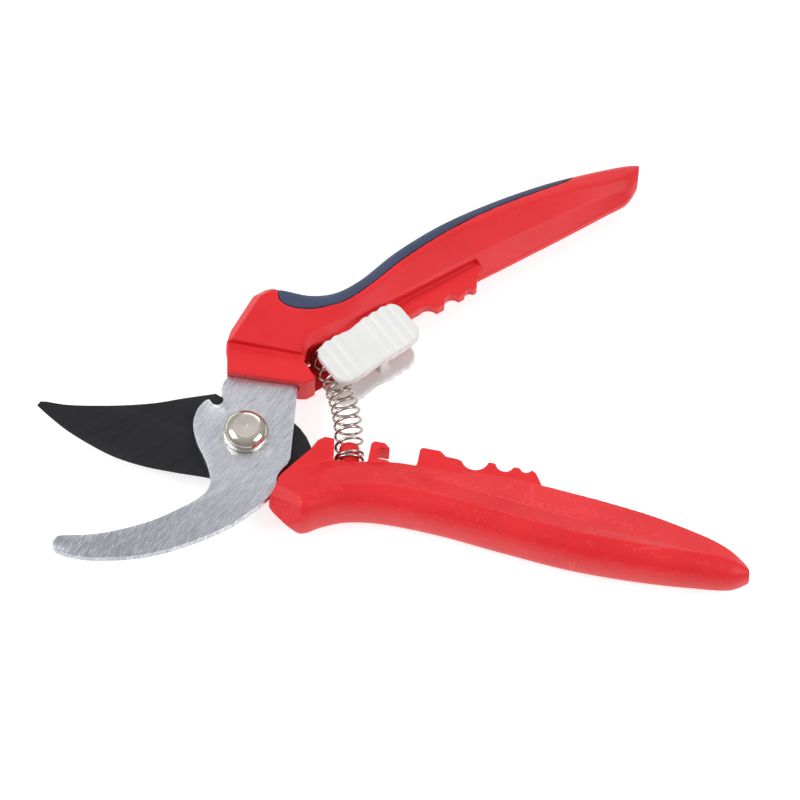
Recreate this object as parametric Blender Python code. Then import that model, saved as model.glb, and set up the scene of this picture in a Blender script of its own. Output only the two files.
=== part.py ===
"""Bypass pruner: hooked counter blade with the upper handle, cutting blade with the lower handle.

Frame: X runs from the pivot towards the handle ends along the closed tool's centre line,
Z is the pivot axis, and the origin is the centre of the flat on the pivot bolt's head.
Lengths below are millimetres. Heights inside the design are measured from the shear plane,
where the two blades slide on each other. The lower half is drawn in the closed position and
is turned open about the pivot by one parent empty.
"""
import math

import bmesh
import bpy
from mathutils import Matrix, Vector

MM = 0.001
GAP = 0.3                       # clearance between neighbouring pieces

# pivot stack
OPEN_ANGLE = 43.4               # how far the lower half is turned open at rest, degrees
COUNTER_THICKNESS = 2.4
BLADE_THICKNESS = 2.4
SHANK_DIAMETER = 6.0
HEAD_DIAMETER = 13.2
HEAD_FLAT_DIAMETER = 7.3
HEAD_HEIGHT = 4.1
HEAD_RIM = 0.7
GRIND_WIDTH = 3.4               # width of the cutting edge's bevel
EDGE_LAND = 0.4                 # thickness left at the edge
WASHER_DIAMETER = 12.0
WASHER_THICKNESS = 1.0
NUT_ACROSS_FLATS = 10.0
NUT_THICKNESS = 3.6

# blades
COUNTER_REACH = 65.3            # pivot to the counter blade's tip
BLADE_REACH = 61.0              # pivot to the cutting blade's tip
HOOK_START = -20.0              # X where both blades leave the pivot's boss
BLADE_BOSS = 14.0               # radius of the cutting blade round the pivot
WIRE_NOTCH = 3.8                # diameter of the counter blade's wire notch
TANG_WIDTH = 4.6                # width of each tang inside its handle

# handles
HANDLE_REACH = 148.2            # pivot to the ends of the handles
WEB_END = 88.4                  # X where the grips' ends begin to taper
UPPER_WEB_END = 87.6            # X where the upper toothed web ends
CROWN_HALF = 8.5                # half thickness of both grips at their thickest
CROWN_ROUND = 7.0               # width over which the back of a grip rounds off
LIP_WALL = 2.75                 # wall of the upper mouth beyond the counter blade
RAIL_COVER = 0.9                # how far the rail's faces stand out beyond the spring
RAIL_END = 57.4                 # X where the rail ends
FLANGE_WALL = 0.75              # wall of the lower flange, catch and block beyond the blade
WEB_HALF = 2.1                  # half thickness of the toothed webs
TEETH_LINE = 6.45               # Y of the line where the two toothed webs meet
TEETH_CLEARANCE = 0.55          # each web stops this far from that line
UPPER_SCALLOPS = ((66.3, 6.2), (74.6, 5.0), (80.6, 3.0))    # X and diameter of each
LOWER_SCALLOPS = ((65.8, 8.0), (74.5, 5.3), (80.6, 3.4))

# lock
LOCK_LENGTH = 29.5
LOCK_WIDTH = 15.4
LOCK_PLATE = 2.8
LOCK_TRAVEL = 7.5
LOCK_CENTRE = (44.2, 4.6)
LOCK_ANGLE = 4.5                # slide direction, degrees from X
LOCK_BAR = (3.0, 2.4)           # locking bar, along and across the slide
LOCK_BAR_AT = (3.2, -2.9)       # its centre from the lock's centre
LOCK_CORNER = 4.4               # corner radius of the lock's plates
LOCK_GUIDE = (4.0, 2.8)         # guide bar that runs in the rail's slot
LOCK_GUIDE_AT = (7.0, LOCK_WIDTH / 2 - 1.8)
LOCK_PLAY = 0.4                 # between the lock's plates and the rail
NOTCH_PLAY = 0.45               # round the locking bar in the catch

# return spring
SPRING_DIAMETER = 8.6           # over the coils
SPRING_WIRE = 0.85
SPRING_TURNS = 12.5
SPRING_REACH = 17.0             # how far each seat keeps the spring straight
LOWER_SEAT = (30.7, -2.3)
LOWER_SEAT_ANGLE = 100.7
UPPER_SEAT = (33.9, 12.8)
UPPER_SEAT_ANGLE = 78.5
LOWER_PEG = 6.0                 # length of the peg inside the spring's end
UPPER_PEG = 4.0
PEG_PLAY = 0.5                  # between a peg and the coils round it
POCKET_PLAY = 0.5               # between the coils and the pocket's walls
FLOOR_PLAY = 0.35               # between the coils and the pocket's floor

# heights from the shear plane
COUNTER_BOTTOM = GAP / 2
COUNTER_TOP = COUNTER_BOTTOM + COUNTER_THICKNESS
BLADE_TOP = -GAP / 2
BLADE_BOTTOM = BLADE_TOP - BLADE_THICKNESS
HEAD_BASE = COUNTER_TOP + GAP
HEAD_TOP = HEAD_BASE + HEAD_HEIGHT
WASHER_TOP = BLADE_BOTTOM - GAP
NUT_TOP = WASHER_TOP - WASHER_THICKNESS - GAP
LIP_HALF = COUNTER_TOP + LIP_WALL
RAIL_HALF = SPRING_DIAMETER / 2 + RAIL_COVER
FLANGE_HALF = FLANGE_WALL - BLADE_BOTTOM
LOCK_INSIDE = RAIL_HALF + LOCK_PLAY

# places along X that follow from the spring and the lock
NOSE_END = UPPER_SEAT[0] - SPRING_DIAMETER / 2 - 3.7
FLANGE_END = LOWER_SEAT[0] - SPRING_DIAMETER / 2 - 0.2
BAR_END = LOCK_CENTRE[0] + LOCK_BAR_AT[0] + LOCK_BAR[0] / 2
CATCH_START = LOWER_SEAT[0] + SPRING_DIAMETER / 2 + 0.8
CATCH_END = BAR_END - LOCK_TRAVEL + 0.4
BLOCK_FRONT = BAR_END + 1.0
RAIL_START = UPPER_SEAT[0] + SPRING_DIAMETER / 2 + 0.4
PEG_DIAMETER = SPRING_DIAMETER - 2 * SPRING_WIRE - 2 * PEG_PLAY

OVER = 4.0                      # how far a cutter runs past what it cuts
FACET_REACH = 14.0              # half width of the block that leaves a facet behind
CORNER_SHARE = 1.15             # extra on a grown outline, so that its corners keep the gap

RED = (0.76, 0.026, 0.031)
SLATE = (0.062, 0.091, 0.168)
WHITE = (0.81, 0.81, 0.79)
STEEL = (0.50, 0.51, 0.55)
NICKEL = (0.66, 0.63, 0.56)
BLACK = (0.020, 0.020, 0.023)


def clear_scene():
    for obj in list(bpy.data.objects):
        bpy.data.objects.remove(obj, do_unlink=True)


def paint(obj, colour, roughness, metallic=0.0):
    material = bpy.data.materials.new(obj.name)
    material.use_nodes = True
    shader = material.node_tree.nodes["Principled BSDF"]
    shader.inputs["Base Color"].default_value = (*colour, 1.0)
    shader.inputs["Roughness"].default_value = roughness
    shader.inputs["Metallic"].default_value = metallic
    obj.data.materials.append(material)


def add_object(name, bm, parent=None):
    bmesh.ops.recalc_face_normals(bm, faces=bm.faces)
    bmesh.ops.scale(bm, vec=(MM, MM, MM), verts=bm.verts)
    mesh = bpy.data.meshes.new(name)
    bm.to_mesh(mesh)
    bm.free()
    obj = bpy.data.objects.new(name, mesh)
    bpy.context.scene.collection.objects.link(obj)
    obj.parent = parent
    return obj


def hide_tool(obj):
    obj.hide_render = True
    obj.display_type = "WIRE"
    return obj


def boolean(obj, tool, operation="DIFFERENCE"):
    modifier = obj.modifiers.new(tool.name, "BOOLEAN")
    modifier.operation = operation
    modifier.solver = "EXACT"
    modifier.object = tool


def smooth(obj, angle=35.0):
    obj.data.shade_smooth()
    obj.data.set_sharp_from_angle(angle=math.radians(angle))


# ---------------------------------------------------------------- plan curves

def spline(points, steps):
    """Points along a Catmull-Rom curve through the given ones."""
    ends = [2 * Vector(points[0]) - Vector(points[1]), 2 * Vector(points[-1]) - Vector(points[-2])]
    knots = [ends[0]] + [Vector(p) for p in points] + [ends[1]]
    out = []
    for a, b, c, d in zip(knots, knots[1:], knots[2:], knots[3:]):
        for step in range(steps):
            t = step / steps
            out.append(0.5 * (2 * b + (c - a) * t + (2 * a - 5 * b + 4 * c - d) * t * t
                              + (3 * b - a - 3 * c + d) * t ** 3))
    out.append(knots[-2])
    return out


def arc(centre, radius, start, end, steps):
    angles = [math.radians(start + (end - start) * i / steps) for i in range(steps + 1)]
    return [Vector((centre[0] + radius * math.cos(a), centre[1] + radius * math.sin(a)))
            for a in angles]


def rounded_box(length, width, radius, steps=4, centre=(0.0, 0.0)):
    out = []
    for quarter, (sx, sy) in enumerate(((1, 1), (-1, 1), (-1, -1), (1, -1))):
        corner = (centre[0] + sx * (length / 2 - radius), centre[1] + sy * (width / 2 - radius))
        out += arc(corner, radius, 90 * quarter, 90 * quarter + 90, steps)
    return out


def turned(point, angle, about=(0.0, 0.0)):
    spin = Matrix.Rotation(math.radians(angle), 2)
    return spin @ (Vector(point[:2]) - Vector(about)) + Vector(about)


def offset_line(points, distance):
    """The open line moved sideways, to the left of its direction."""
    out = []
    for i, point in enumerate(points):
        along = (points[min(i + 1, len(points) - 1)] - points[max(i - 1, 0)]).normalized()
        out.append(point + distance * Vector((-along.y, along.x)))
    return out


# ---------------------------------------------------------------- solids

def prism(name, outline, bottom, top, parent=None):
    bm = bmesh.new()
    face = bm.faces.new([bm.verts.new((p[0], p[1], bottom)) for p in outline])
    lifted = bmesh.ops.extrude_face_region(bm, geom=[face])["geom"]
    verts = [v for v in lifted if isinstance(v, bmesh.types.BMVert)]
    bmesh.ops.translate(bm, vec=(0, 0, top - bottom), verts=verts)
    return add_object(name, bm, parent)


def ringed_solid(name, rings, parent=None):
    """A closed solid through rings of equal point counts, capped at both ends."""
    bm = bmesh.new()
    rows = [[bm.verts.new(p) for p in ring] for ring in rings]
    count = len(rows[0])
    for row, following in zip(rows, rows[1:]):
        for i in range(count):
            j = (i + 1) % count
            bm.faces.new((row[i], row[j], following[j], following[i]))
    bm.faces.new(rows[0])
    bm.faces.new(rows[-1])
    bmesh.ops.triangulate(bm, faces=bm.faces)
    return add_object(name, bm, parent)


def turned_solid(name, profile, sides, parent=None):
    """A solid of revolution about Z through (radius, height) points from axis to axis."""
    bm = bmesh.new()
    verts = [bm.verts.new((r, 0, z)) for r, z in profile]
    edges = [bm.edges.new(pair) for pair in zip(verts, verts[1:])]
    bmesh.ops.spin(bm, geom=verts + edges, cent=(0, 0, 0), axis=(0, 0, 1),
                   angle=2 * math.pi, steps=sides, use_duplicate=False)
    bmesh.ops.remove_doubles(bm, verts=bm.verts, dist=0.0005)
    return add_object(name, bm, parent)


def cylinder(name, diameter, bottom, top, centre=(0.0, 0.0), sides=40, parent=None):
    return prism(name, arc(centre, diameter / 2, 0, 360 - 360 / sides, sides - 1), bottom, top,
                 parent)


def peg(name, foot, angle, length, diameter, sink=2.5, parent=None, sides=24):
    """A round peg lying in the shear plane, from a little inside its seat."""
    along = Vector((math.cos(math.radians(angle)), math.sin(math.radians(angle))))
    across = Vector((-along.y, along.x))
    rings = []
    stops = ((-sink, 1.0), (length - 0.8, 1.0), (length, 0.8))
    for reach, share in stops:
        centre = Vector(foot) + along * reach
        ring = []
        for i in range(sides):
            a = 2 * math.pi * i / sides
            radius = diameter / 2 * share
            spot = centre + across * radius * math.cos(a)
            ring.append((spot.x, spot.y, radius * math.sin(a)))
        rings.append(ring)
    return ringed_solid(name, rings, parent)


def grip_section(outer, inner, crease, heights, roundness, steps=5):
    """One ring of a grip: rounded back, flattened flank, then a bevel to the inner edge."""
    outer, inner = Vector(outer), Vector(inner)
    width = (inner - outer).length
    top, crease_height, edge = heights
    rounding = min(CROWN_ROUND * roundness, 0.55 * width)
    half = []
    for i in range(steps + 1):
        a = math.pi / 2 * i / steps
        half.append((rounding * (1 - math.cos(a) ** 0.8), top * math.sin(a) ** 0.8))
    half.append((width * crease, crease_height))
    half.append((width, edge))
    flat = [(d, h) for d, h in half if h > 1e-6]
    profile = [(0.0, 0.0)] + flat + [(d, -h) for d, h in reversed(flat)]
    across = (inner - outer).normalized()
    return [(*(outer + across * d), h) for d, h in profile]


def grip(name, back, inner_edge, sizes, parent=None, steps=2):
    """A grip lofted through stations, each a back point, an inner point and section sizes."""
    rows = [Vector((*outer, *inner, *size)) for outer, inner, size in zip(back, inner_edge, sizes)]
    rings = [grip_section(r[0:2], r[2:4], r[4], [CROWN_HALF * share for share in r[5:8]], r[8])
             for r in spline_rows(rows, steps)]
    return ringed_solid(name, rings, parent)


def spline_rows(rows, steps):
    out = []
    padded = [rows[0]] + rows + [rows[-1]]
    for a, b, c, d in zip(padded, padded[1:], padded[2:], padded[3:]):
        for step in range(steps):
            t = step / steps
            out.append(0.5 * (2 * b + (c - a) * t + (2 * a - 5 * b + 4 * c - d) * t * t
                              + (3 * b - a - 3 * c + d) * t ** 3))
    out.append(rows[-1])
    return out


# ---------------------------------------------------------------- shared outlines

def past(start, reach, points):
    """Outline points beyond start, given as the share of the way from it to the reach."""
    return tuple((start + share * (reach - start), y) for share, y in points)


UPPER_BACK = ((9.6, 27.4), (17.3, 34.0), (25.2, 38.2), (31.6, 35.0), (38.2, 29.2), (45.5, 26.0),
              (54.8, 26.0), (68.0, 28.6), (84.0, 29.7)) + past(WEB_END, HANDLE_REACH, (
                  (0.20, 28.7), (0.50, 26.1), (0.75, 22.5), (0.92, 19.6), (1.0, 17.7)))
UPPER_INNER = ((26.8, 11.8), (29.0, 12.1), (32.0, 12.4), (35.5, 12.6), (40.0, 13.0), (46.0, 12.6),
               (54.0, 11.2), (67.0, 9.7), (83.0, 9.6)) + past(WEB_END, HANDLE_REACH, (
                   (0.19, 9.3), (0.46, 9.1), (0.70, 9.1), (0.83, 9.2), (0.925, 12.0)))
LOWER_BACK = ((11.0, -20.2), (13.9, -23.4), (18.0, -25.5), (22.2, -25.2), (26.6, -22.3),
              (33.5, -19.2), (44.0, -17.6), (60.0, -17.8), (78.0, -19.4)) + past(
                  WEB_END, HANDLE_REACH, ((0.16, -20.9), (0.48, -20.7), (0.75, -19.5),
                                          (0.925, -18.2), (1.01, -15.2)))
LOWER_INNER = ((11.0, -13.0), (14.2, -10.3), (18.2, -7.2), (21.6, -5.2), (26.0, -3.5),
               (33.5, -2.5), (44.0, -0.5), (60.0, 0.7), (78.0, 1.4)) + past(
                   WEB_END, HANDLE_REACH, ((0.16, 0.6), (0.48, -1.2), (0.75, -4.3),
                                           (0.895, -7.3), (0.99, -11.0)))

# for each station: where the crease lies from back to inner edge, and then three heights as
# shares of the full half thickness, at the crown, at the crease and at the inner edge, and last
# how wide the back rounds off, as a share of the full rounding
UPPER_SIZES = ((0.96, 0.92, 0.82, 0.59, 0.30), (0.88, 0.97, 0.85, 0.59, 0.30),
               (0.84, 1.0, 0.85, 0.59, 0.34), (0.82, 1.0, 0.85, 0.59, 0.80),
               (0.80, 1.0, 0.82, 0.56, 1.0), (0.78, 1.0, 0.79, 0.54, 1.0),
               (0.76, 1.0, 0.72, 0.36, 1.0), (0.72, 1.0, 0.65, 0.19, 1.0),
               (0.72, 1.0, 0.60, 0.13, 1.0), (0.73, 0.97, 0.60, 0.13, 1.0),
               (0.74, 0.90, 0.59, 0.13, 1.0), (0.76, 0.80, 0.54, 0.13, 1.0),
               (0.78, 0.65, 0.47, 0.13, 1.0), (0.80, 0.41, 0.31, 0.12, 1.0))
LOWER_SIZES = ((0.60, 0.80, 0.62, 0.36, 0.60), (0.60, 0.90, 0.68, 0.36, 0.70),
               (0.62, 0.97, 0.70, 0.36, 0.85), (0.68, 1.0, 0.70, 0.36, 1.0),
               (0.78, 1.0, 0.68, 0.38, 1.0), (0.84, 1.0, 0.63, 0.40, 1.0),
               (0.82, 1.0, 0.60, 0.37, 1.0), (0.68, 1.0, 0.60, 0.35, 1.0),
               (0.60, 1.0, 0.60, 0.35, 1.0), (0.56, 0.97, 0.60, 0.30, 1.0),
               (0.54, 0.92, 0.60, 0.26, 1.0), (0.52, 0.83, 0.58, 0.235, 1.0),
               (0.52, 0.70, 0.53, 0.22, 1.0), (0.50, 0.43, 0.36, 0.14, 1.0))

# flat facets on the grips' fronts, each a point on it and its outward direction; a sloping one
# comes with its mirror image below
UPPER_FACETS = (((17.7, 32.8, 0.0), (-0.494, 0.870, 0.0)), ((17.7, 32.8, 5.0), (-0.375, 0.661, 0.650)),
                ((28.0, 36.65, 0.0), (0.0, 1.0, 0.0)), ((28.0, 36.65, 5.0), (0.0, 0.79, 0.61)))
LOWER_FACETS = (((12.1, -21.85, 0.0), (-0.509, -0.715, 0.481)),
                ((14.7, -18.0, 6.0), (-0.486, -0.338, 0.804)))


def counter_outline():
    heel_edge = [(-8.9, -21.9), (-20.0, -22.9)]
    convex = spline(heel_edge + list(past(HOOK_START, -COUNTER_REACH, (
        (0.30, -21.4), (0.57, -17.9), (0.81, -12.2), (0.94, -7.5), (0.998, -4.2)))), 3)
    tip = past(HOOK_START, -COUNTER_REACH, ((1.0, -2.6), (0.978, -1.3), (0.94, -0.6)))
    bay = [(-22.0, -10.9), (-18.2, -9.6), (-16.1, -7.0), (-14.5, -1.5), (-13.6, 4.6),
           (-11.6, 10.2), (-8.4, 13.6), (-5.4, 15.1)]
    concave = spline(list(past(HOOK_START, -COUNTER_REACH, (
        (0.918, -1.0), (0.69, -6.4), (0.40, -10.1), (0.157, -11.0)))) + bay, 3)
    hump = [(-4.1, 15.3), (-3.3, 14.9)]
    notch = arc((-1.4, 13.9), WIRE_NOTCH / 2, 190, 330, 5)
    shoulder = [(0.6, 14.4), (1.4, 16.1), (3.2, 17.7), (5.8, 19.0)]
    tang = [(13.0, 24.4), (22.0, 25.4), (41.0, 19.0), (41.0, 19.0 - TANG_WIDTH),
            (27.6, 17.6), (20.8, 5.6)]
    neck = [(10.9, -7.8), (6.6, -13.6)]
    heel = spline([(4.9, -14.6), (2.3, -15.5), (0.4, -16.6), (-1.4, -18.9), (-4.4, -20.8)], 2)
    return convex + list(tip) + concave + hump + notch + shoulder + tang + neck + heel


def blade_outline():
    tip = past(HOOK_START, -BLADE_REACH, ((1.0, -2.4), (0.985, -1.0)))
    back = spline(list(past(HOOK_START, -BLADE_REACH, (
        (0.95, -0.7), (0.77, -0.3), (0.47, 2.2), (0.21, 5.3), (0.005, 8.8)))) + [(-11.6, 12.2)], 3)
    boss = arc((0.0, 0.0), BLADE_BOSS, 128, 38, 8)
    throat = [(14.6, 6.2), (17.0, 3.8), (19.4, 0.2)]
    tang = [(23.0, -6.6), (30.0, -8.8), (46.0, -8.8), (46.0, -8.8 - TANG_WIDTH), (20.0, -14.4),
            (8.0, -14.2)]
    return list(tip) + back + boss + throat + tang + blade_edge()


def blade_edge():
    heel = [(-2.0, -15.2), (-9.0, -15.0), (-17.9, -15.3)]
    return spline(heel + list(past(HOOK_START, -BLADE_REACH, (
        (0.166, -15.2), (0.38, -14.0), (0.58, -11.4), (0.76, -8.3), (0.91, -4.8)))), 3)


# ---------------------------------------------------------------- pivot pieces

def pivot_bolt(root):
    radius = SHANK_DIAMETER / 2
    shank_end = NUT_TOP - NUT_THICKNESS + 0.2
    dome = []
    for i in range(7):
        a = math.pi / 2 * i / 6
        spread = HEAD_DIAMETER / 2 - HEAD_FLAT_DIAMETER / 2
        dome.append((HEAD_FLAT_DIAMETER / 2 + spread * math.cos(a) ** 0.9,
                     HEAD_BASE + HEAD_RIM + (HEAD_HEIGHT - HEAD_RIM) * math.sin(a) ** 0.9))
    profile = [(0, shank_end), (radius - 0.5, shank_end), (radius, shank_end + 0.5),
               (radius, HEAD_BASE), (HEAD_DIAMETER / 2, HEAD_BASE), *dome, (0, HEAD_TOP)]
    bolt = turned_solid("pivot_bolt", profile, 48, root)
    smooth(bolt)
    paint(bolt, NICKEL, 0.16, 1.0)
    return bolt


def pivot_washer(root):
    washer = cylinder("pivot_washer", WASHER_DIAMETER, WASHER_TOP - WASHER_THICKNESS, WASHER_TOP,
                      parent=root)
    boolean(washer, pivot_hole("washer_hole", root))
    paint(washer, STEEL, 0.3, 1.0)


def pivot_nut(root):
    across_corners = NUT_ACROSS_FLATS / math.cos(math.pi / 6)
    nut = prism("pivot_nut", arc((0, 0), across_corners / 2, 0, 300, 5), NUT_TOP - NUT_THICKNESS,
                NUT_TOP, root)
    boolean(nut, pivot_hole("nut_hole", root))
    paint(nut, STEEL, 0.28, 1.0)


def pivot_hole(name, parent):
    return hide_tool(cylinder(name, SHANK_DIAMETER + 2 * GAP, NUT_TOP - NUT_THICKNESS - OVER,
                              HEAD_BASE + OVER, sides=32, parent=parent))


# ---------------------------------------------------------------- blades

def counter_blade(root):
    plate = prism("counter_blade", counter_outline(), COUNTER_BOTTOM, COUNTER_TOP, root)
    boolean(plate, pivot_hole("counter_hole", root))
    paint(plate, STEEL, 0.32, 1.0)


def cutting_blade(lower):
    """The blade's edge is ground on the outer side, so the bevel rises from its bottom face."""
    blade = prism("cutting_blade", blade_outline(), BLADE_BOTTOM, BLADE_TOP, lower)
    boolean(blade, pivot_hole("blade_hole", lower))
    boolean(blade, edge_grind(lower))
    paint(blade, BLACK, 0.42, 0.2)


def edge_grind(lower):
    """A wedge along the cutting edge that leaves a thin land under the shear face."""
    edge = [Vector(p[:2]) for p in blade_edge()]
    edge += [Vector(p) for p in past(HOOK_START, -BLADE_REACH, ((1.0, -2.4), (1.04, -0.6)))]
    inside = offset_line(edge, -GRIND_WIDTH)
    outside = offset_line(edge, OVER)
    slope_end = BLADE_TOP - EDGE_LAND
    outside_height = slope_end + (slope_end - BLADE_BOTTOM) * OVER / GRIND_WIDTH
    rings = []
    for near, far in zip(inside, outside):
        rings.append([(near.x, near.y, BLADE_BOTTOM), (far.x, far.y, outside_height),
                      (far.x, far.y, BLADE_BOTTOM - OVER), (near.x, near.y, BLADE_BOTTOM - OVER)])
    return hide_tool(ringed_solid("edge_grind", rings, lower))


# ---------------------------------------------------------------- upper handle

def facet(name, point, outward, parent):
    """A block whose near face is the flat that it leaves behind."""
    outward = Vector(outward).normalized()
    across = outward.cross(Vector((0, 0, 1))).normalized() * FACET_REACH
    upward = outward.cross(across)
    rings = []
    for reach in (0.0, FACET_REACH):
        centre = Vector(point) + outward * reach
        rings.append([centre + across * a + upward * b
                      for a, b in ((-1, -1), (1, -1), (1, 1), (-1, 1))])
    return hide_tool(ringed_solid(name, rings, parent))


def cut_facets(handle, facets, parent):
    for number, (point, outward) in enumerate(facets):
        for side in ((1, -1) if outward[2] else (1,)):
            name = f"{handle.name}_facet_{number}_{'top' if side > 0 else 'bottom'}"
            boolean(handle, facet(name, (point[0], point[1], side * point[2]),
                                  (outward[0], outward[1], side * outward[2]), parent))


def slot_cutter(name, outline, bottom, top, parent):
    """The plate's own shape, grown by the clearance."""
    loop = [Vector(p[:2]) for p in outline]
    grown = []
    for i, point in enumerate(loop):
        along = (loop[(i + 1) % len(loop)] - loop[i - 1]).normalized()
        grown.append(point + GAP * CORNER_SHARE * Vector((-along.y, along.x)))
    return hide_tool(prism(name, grown, bottom - GAP, top + GAP, parent))


def mouth_outline():
    return [(5.0, 18.9), (21.2, 4.9), (22.9, 3.85), (NOSE_END, 3.85), (NOSE_END, 10.4),
            (28.6, 13.4), (31.0, 20.0), (19.0, 29.5), (10.4, 27.8)]


def rail_outline():
    bottom = TEETH_LINE + TEETH_CLEARANCE
    return [(RAIL_START, bottom + 0.8), (RAIL_START + 0.8, bottom), (RAIL_END - 0.8, bottom),
            (RAIL_END, bottom + 1.2), (RAIL_END, 17.0), (31.0, 18.0), (33.0, 13.4),
            (RAIL_START, 13.4)]


def upper_web_outline():
    bottom = TEETH_LINE + TEETH_CLEARANCE
    first = UPPER_SCALLOPS[0][0]
    return [(54.0, 9.3), (first, 9.3), (first, bottom), (83.4, bottom), (85.6, 10.6),
            (UPPER_WEB_END, 12.0), (UPPER_WEB_END, 16.5), (54.0, 16.5)]


def lock_space(name, side, parent):
    """The path that one of the lock's plates sweeps beside the rail, with clearance."""
    back = -LOCK_LENGTH / 2 - LOCK_TRAVEL - GAP
    front = LOCK_LENGTH / 2 + GAP
    half_width = LOCK_WIDTH / 2 + GAP
    bottom, top = sorted((side * (LOCK_INSIDE - GAP), side * (CROWN_HALF + OVER)))
    corners = [(back, -half_width), (front, -half_width), (front, half_width), (back, half_width)]
    outline = [turned(c, LOCK_ANGLE) + Vector(LOCK_CENTRE) for c in corners]
    return hide_tool(prism(name, outline, bottom, top, parent))


def guide_slot(parent):
    length, width = LOCK_GUIDE
    near = LOCK_GUIDE_AT[0] - LOCK_TRAVEL - length / 2 - GAP
    far = LOCK_GUIDE_AT[0] + length / 2 + GAP
    outline = rounded_box(far - near, width + 2 * GAP, 0.5, 2,
                          ((near + far) / 2, LOCK_GUIDE_AT[1]))
    outline = [turned(p, LOCK_ANGLE) + Vector(LOCK_CENTRE) for p in outline]
    return hide_tool(prism("guide_slot", outline, -RAIL_HALF - OVER, RAIL_HALF + OVER, parent))


def web_recess(name, side, parent):
    outline = [(46.0, 2.0), (UPPER_WEB_END, 2.0), (UPPER_WEB_END, 14.3), (46.0, 14.3)]
    bottom, top = sorted((side * WEB_HALF, side * (CROWN_HALF + OVER)))
    return hide_tool(prism(name, outline, bottom, top, parent))


def insert_line():
    """Plan line where the soft insert meets the hard grip."""
    front = [(34.0, 35.6), (31.2, 33.2), (29.9, 31.0), (30.1, 28.6), (32.2, 25.7), (35.8, 23.1),
             (40.2, 21.2), (46.2, 20.0), (55.0, 20.9), (68.0, 23.3), (84.0, 24.7)]
    rear = ((0.19, 24.5), (0.43, 23.0), (0.60, 21.9), (0.675, 23.2))
    return front + list(past(WEB_END, HANDLE_REACH, rear))


def insert_band(name, shift, parent):
    line = offset_line([Vector(p[:2]) for p in spline(insert_line(), 2)], shift)
    outline = line + [line[-1] + Vector((0, 10.0)), Vector((WEB_END, 40.0)), Vector((36.0, 42.0))]
    return hide_tool(prism(name, outline, -CROWN_HALF - OVER, CROWN_HALF + OVER, parent))


def upper_handle(root):
    handle = grip("upper_handle", UPPER_BACK, UPPER_INNER, UPPER_SIZES, root)
    cut_facets(handle, UPPER_FACETS, root)
    for side, name in ((1, "web_recess_top"), (-1, "web_recess_bottom")):
        boolean(handle, web_recess(name, side, root))
    for side, name in ((1, "lock_space_top"), (-1, "lock_space_bottom")):
        boolean(handle, lock_space(name, side, root))
    boolean(handle, hide_tool(prism("mouth", mouth_outline(), -LIP_HALF, LIP_HALF, root)), "UNION")
    boolean(handle, hide_tool(prism("rail", rail_outline(), -RAIL_HALF, RAIL_HALF, root)), "UNION")
    boolean(handle, hide_tool(prism("web", upper_web_outline(), -WEB_HALF, WEB_HALF, root)),
            "UNION")
    boolean(handle, spring_pocket(root))
    boolean(handle, pocket_floor(root), "UNION")
    foot = Vector(UPPER_SEAT)
    boolean(handle, hide_tool(peg("upper_peg", foot, UPPER_SEAT_ANGLE + 180, UPPER_PEG,
                                  PEG_DIAMETER, parent=root)), "UNION")
    boolean(handle, guide_slot(root))
    for number, (x, diameter) in enumerate(UPPER_SCALLOPS):
        boolean(handle, hide_tool(cylinder(f"upper_scallop_{number}", diameter,
                                           -WEB_HALF - OVER, WEB_HALF + OVER,
                                           (x, TEETH_LINE), 24, root)))
    boolean(handle, slot_cutter("counter_slot", counter_outline(), COUNTER_BOTTOM, COUNTER_TOP,
                                root))
    boolean(handle, insert_band("insert_seat", -GAP, root))
    paint(handle, RED, 0.42)


def spring_pocket(root):
    seat = Vector(UPPER_SEAT)
    along = Vector((math.cos(math.radians(UPPER_SEAT_ANGLE)),
                    math.sin(math.radians(UPPER_SEAT_ANGLE))))
    across = Vector((along.y, -along.x))
    half = SPRING_DIAMETER / 2 + POCKET_PLAY
    wall_x = NOSE_END + GAP
    outline = [seat + across * half, seat - across * half, Vector((wall_x, 10.6)),
               Vector((wall_x, 0.0)), seat + across * half - along * 14.0]
    return hide_tool(prism("spring_pocket", outline, -CROWN_HALF - OVER,
                           SPRING_DIAMETER / 2 + 1.2, root))


def pocket_floor(root):
    """The thin wall under the spring's upper end."""
    outline = [(NOSE_END - 1.0, 4.7), (NOSE_END + 7.2, 4.7), (RAIL_START - 1.2, 8.4),
               (RAIL_START + 0.6, 9.4), (RAIL_START + 0.6, 15.0), (NOSE_END - 1.0, 12.0)]
    return hide_tool(prism("pocket_floor", outline, -RAIL_HALF,
                           -SPRING_DIAMETER / 2 - FLOOR_PLAY, root))


def upper_grip_insert(root):
    insert = grip("upper_grip_insert", UPPER_BACK, UPPER_INNER, UPPER_SIZES, root)
    boolean(insert, insert_band("insert_shape", 0.0, root), "INTERSECT")
    paint(insert, SLATE, 0.62)


# ---------------------------------------------------------------- lower handle

def flange_outline():
    return [(12.4, -11.4), (19.2, -1.4), (20.6, 1.8), (22.4, 3.4), (FLANGE_END - 1.0, 3.4),
            (FLANGE_END, -2.6), (FLANGE_END, -9.0), (13.2, -14.0)]


def catch_outline():
    return [(CATCH_START + 0.2, -4.0), (CATCH_START, 4.0), (CATCH_START + 0.8, 4.9),
            (CATCH_END - 2.2, 5.1), (CATCH_END - 0.2, 3.4), (CATCH_END, -4.0)]


def block_outline():
    top = TEETH_LINE - TEETH_CLEARANCE
    return [(BLOCK_FRONT, -3.0), (BLOCK_FRONT, top - 0.7), (BLOCK_FRONT + 0.7, top - 0.1),
            (55.6, top), (57.2, 4.7), (59.0, 3.3), (61.4, 2.3), (64.0, 1.9), (64.0, -3.0)]


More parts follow.
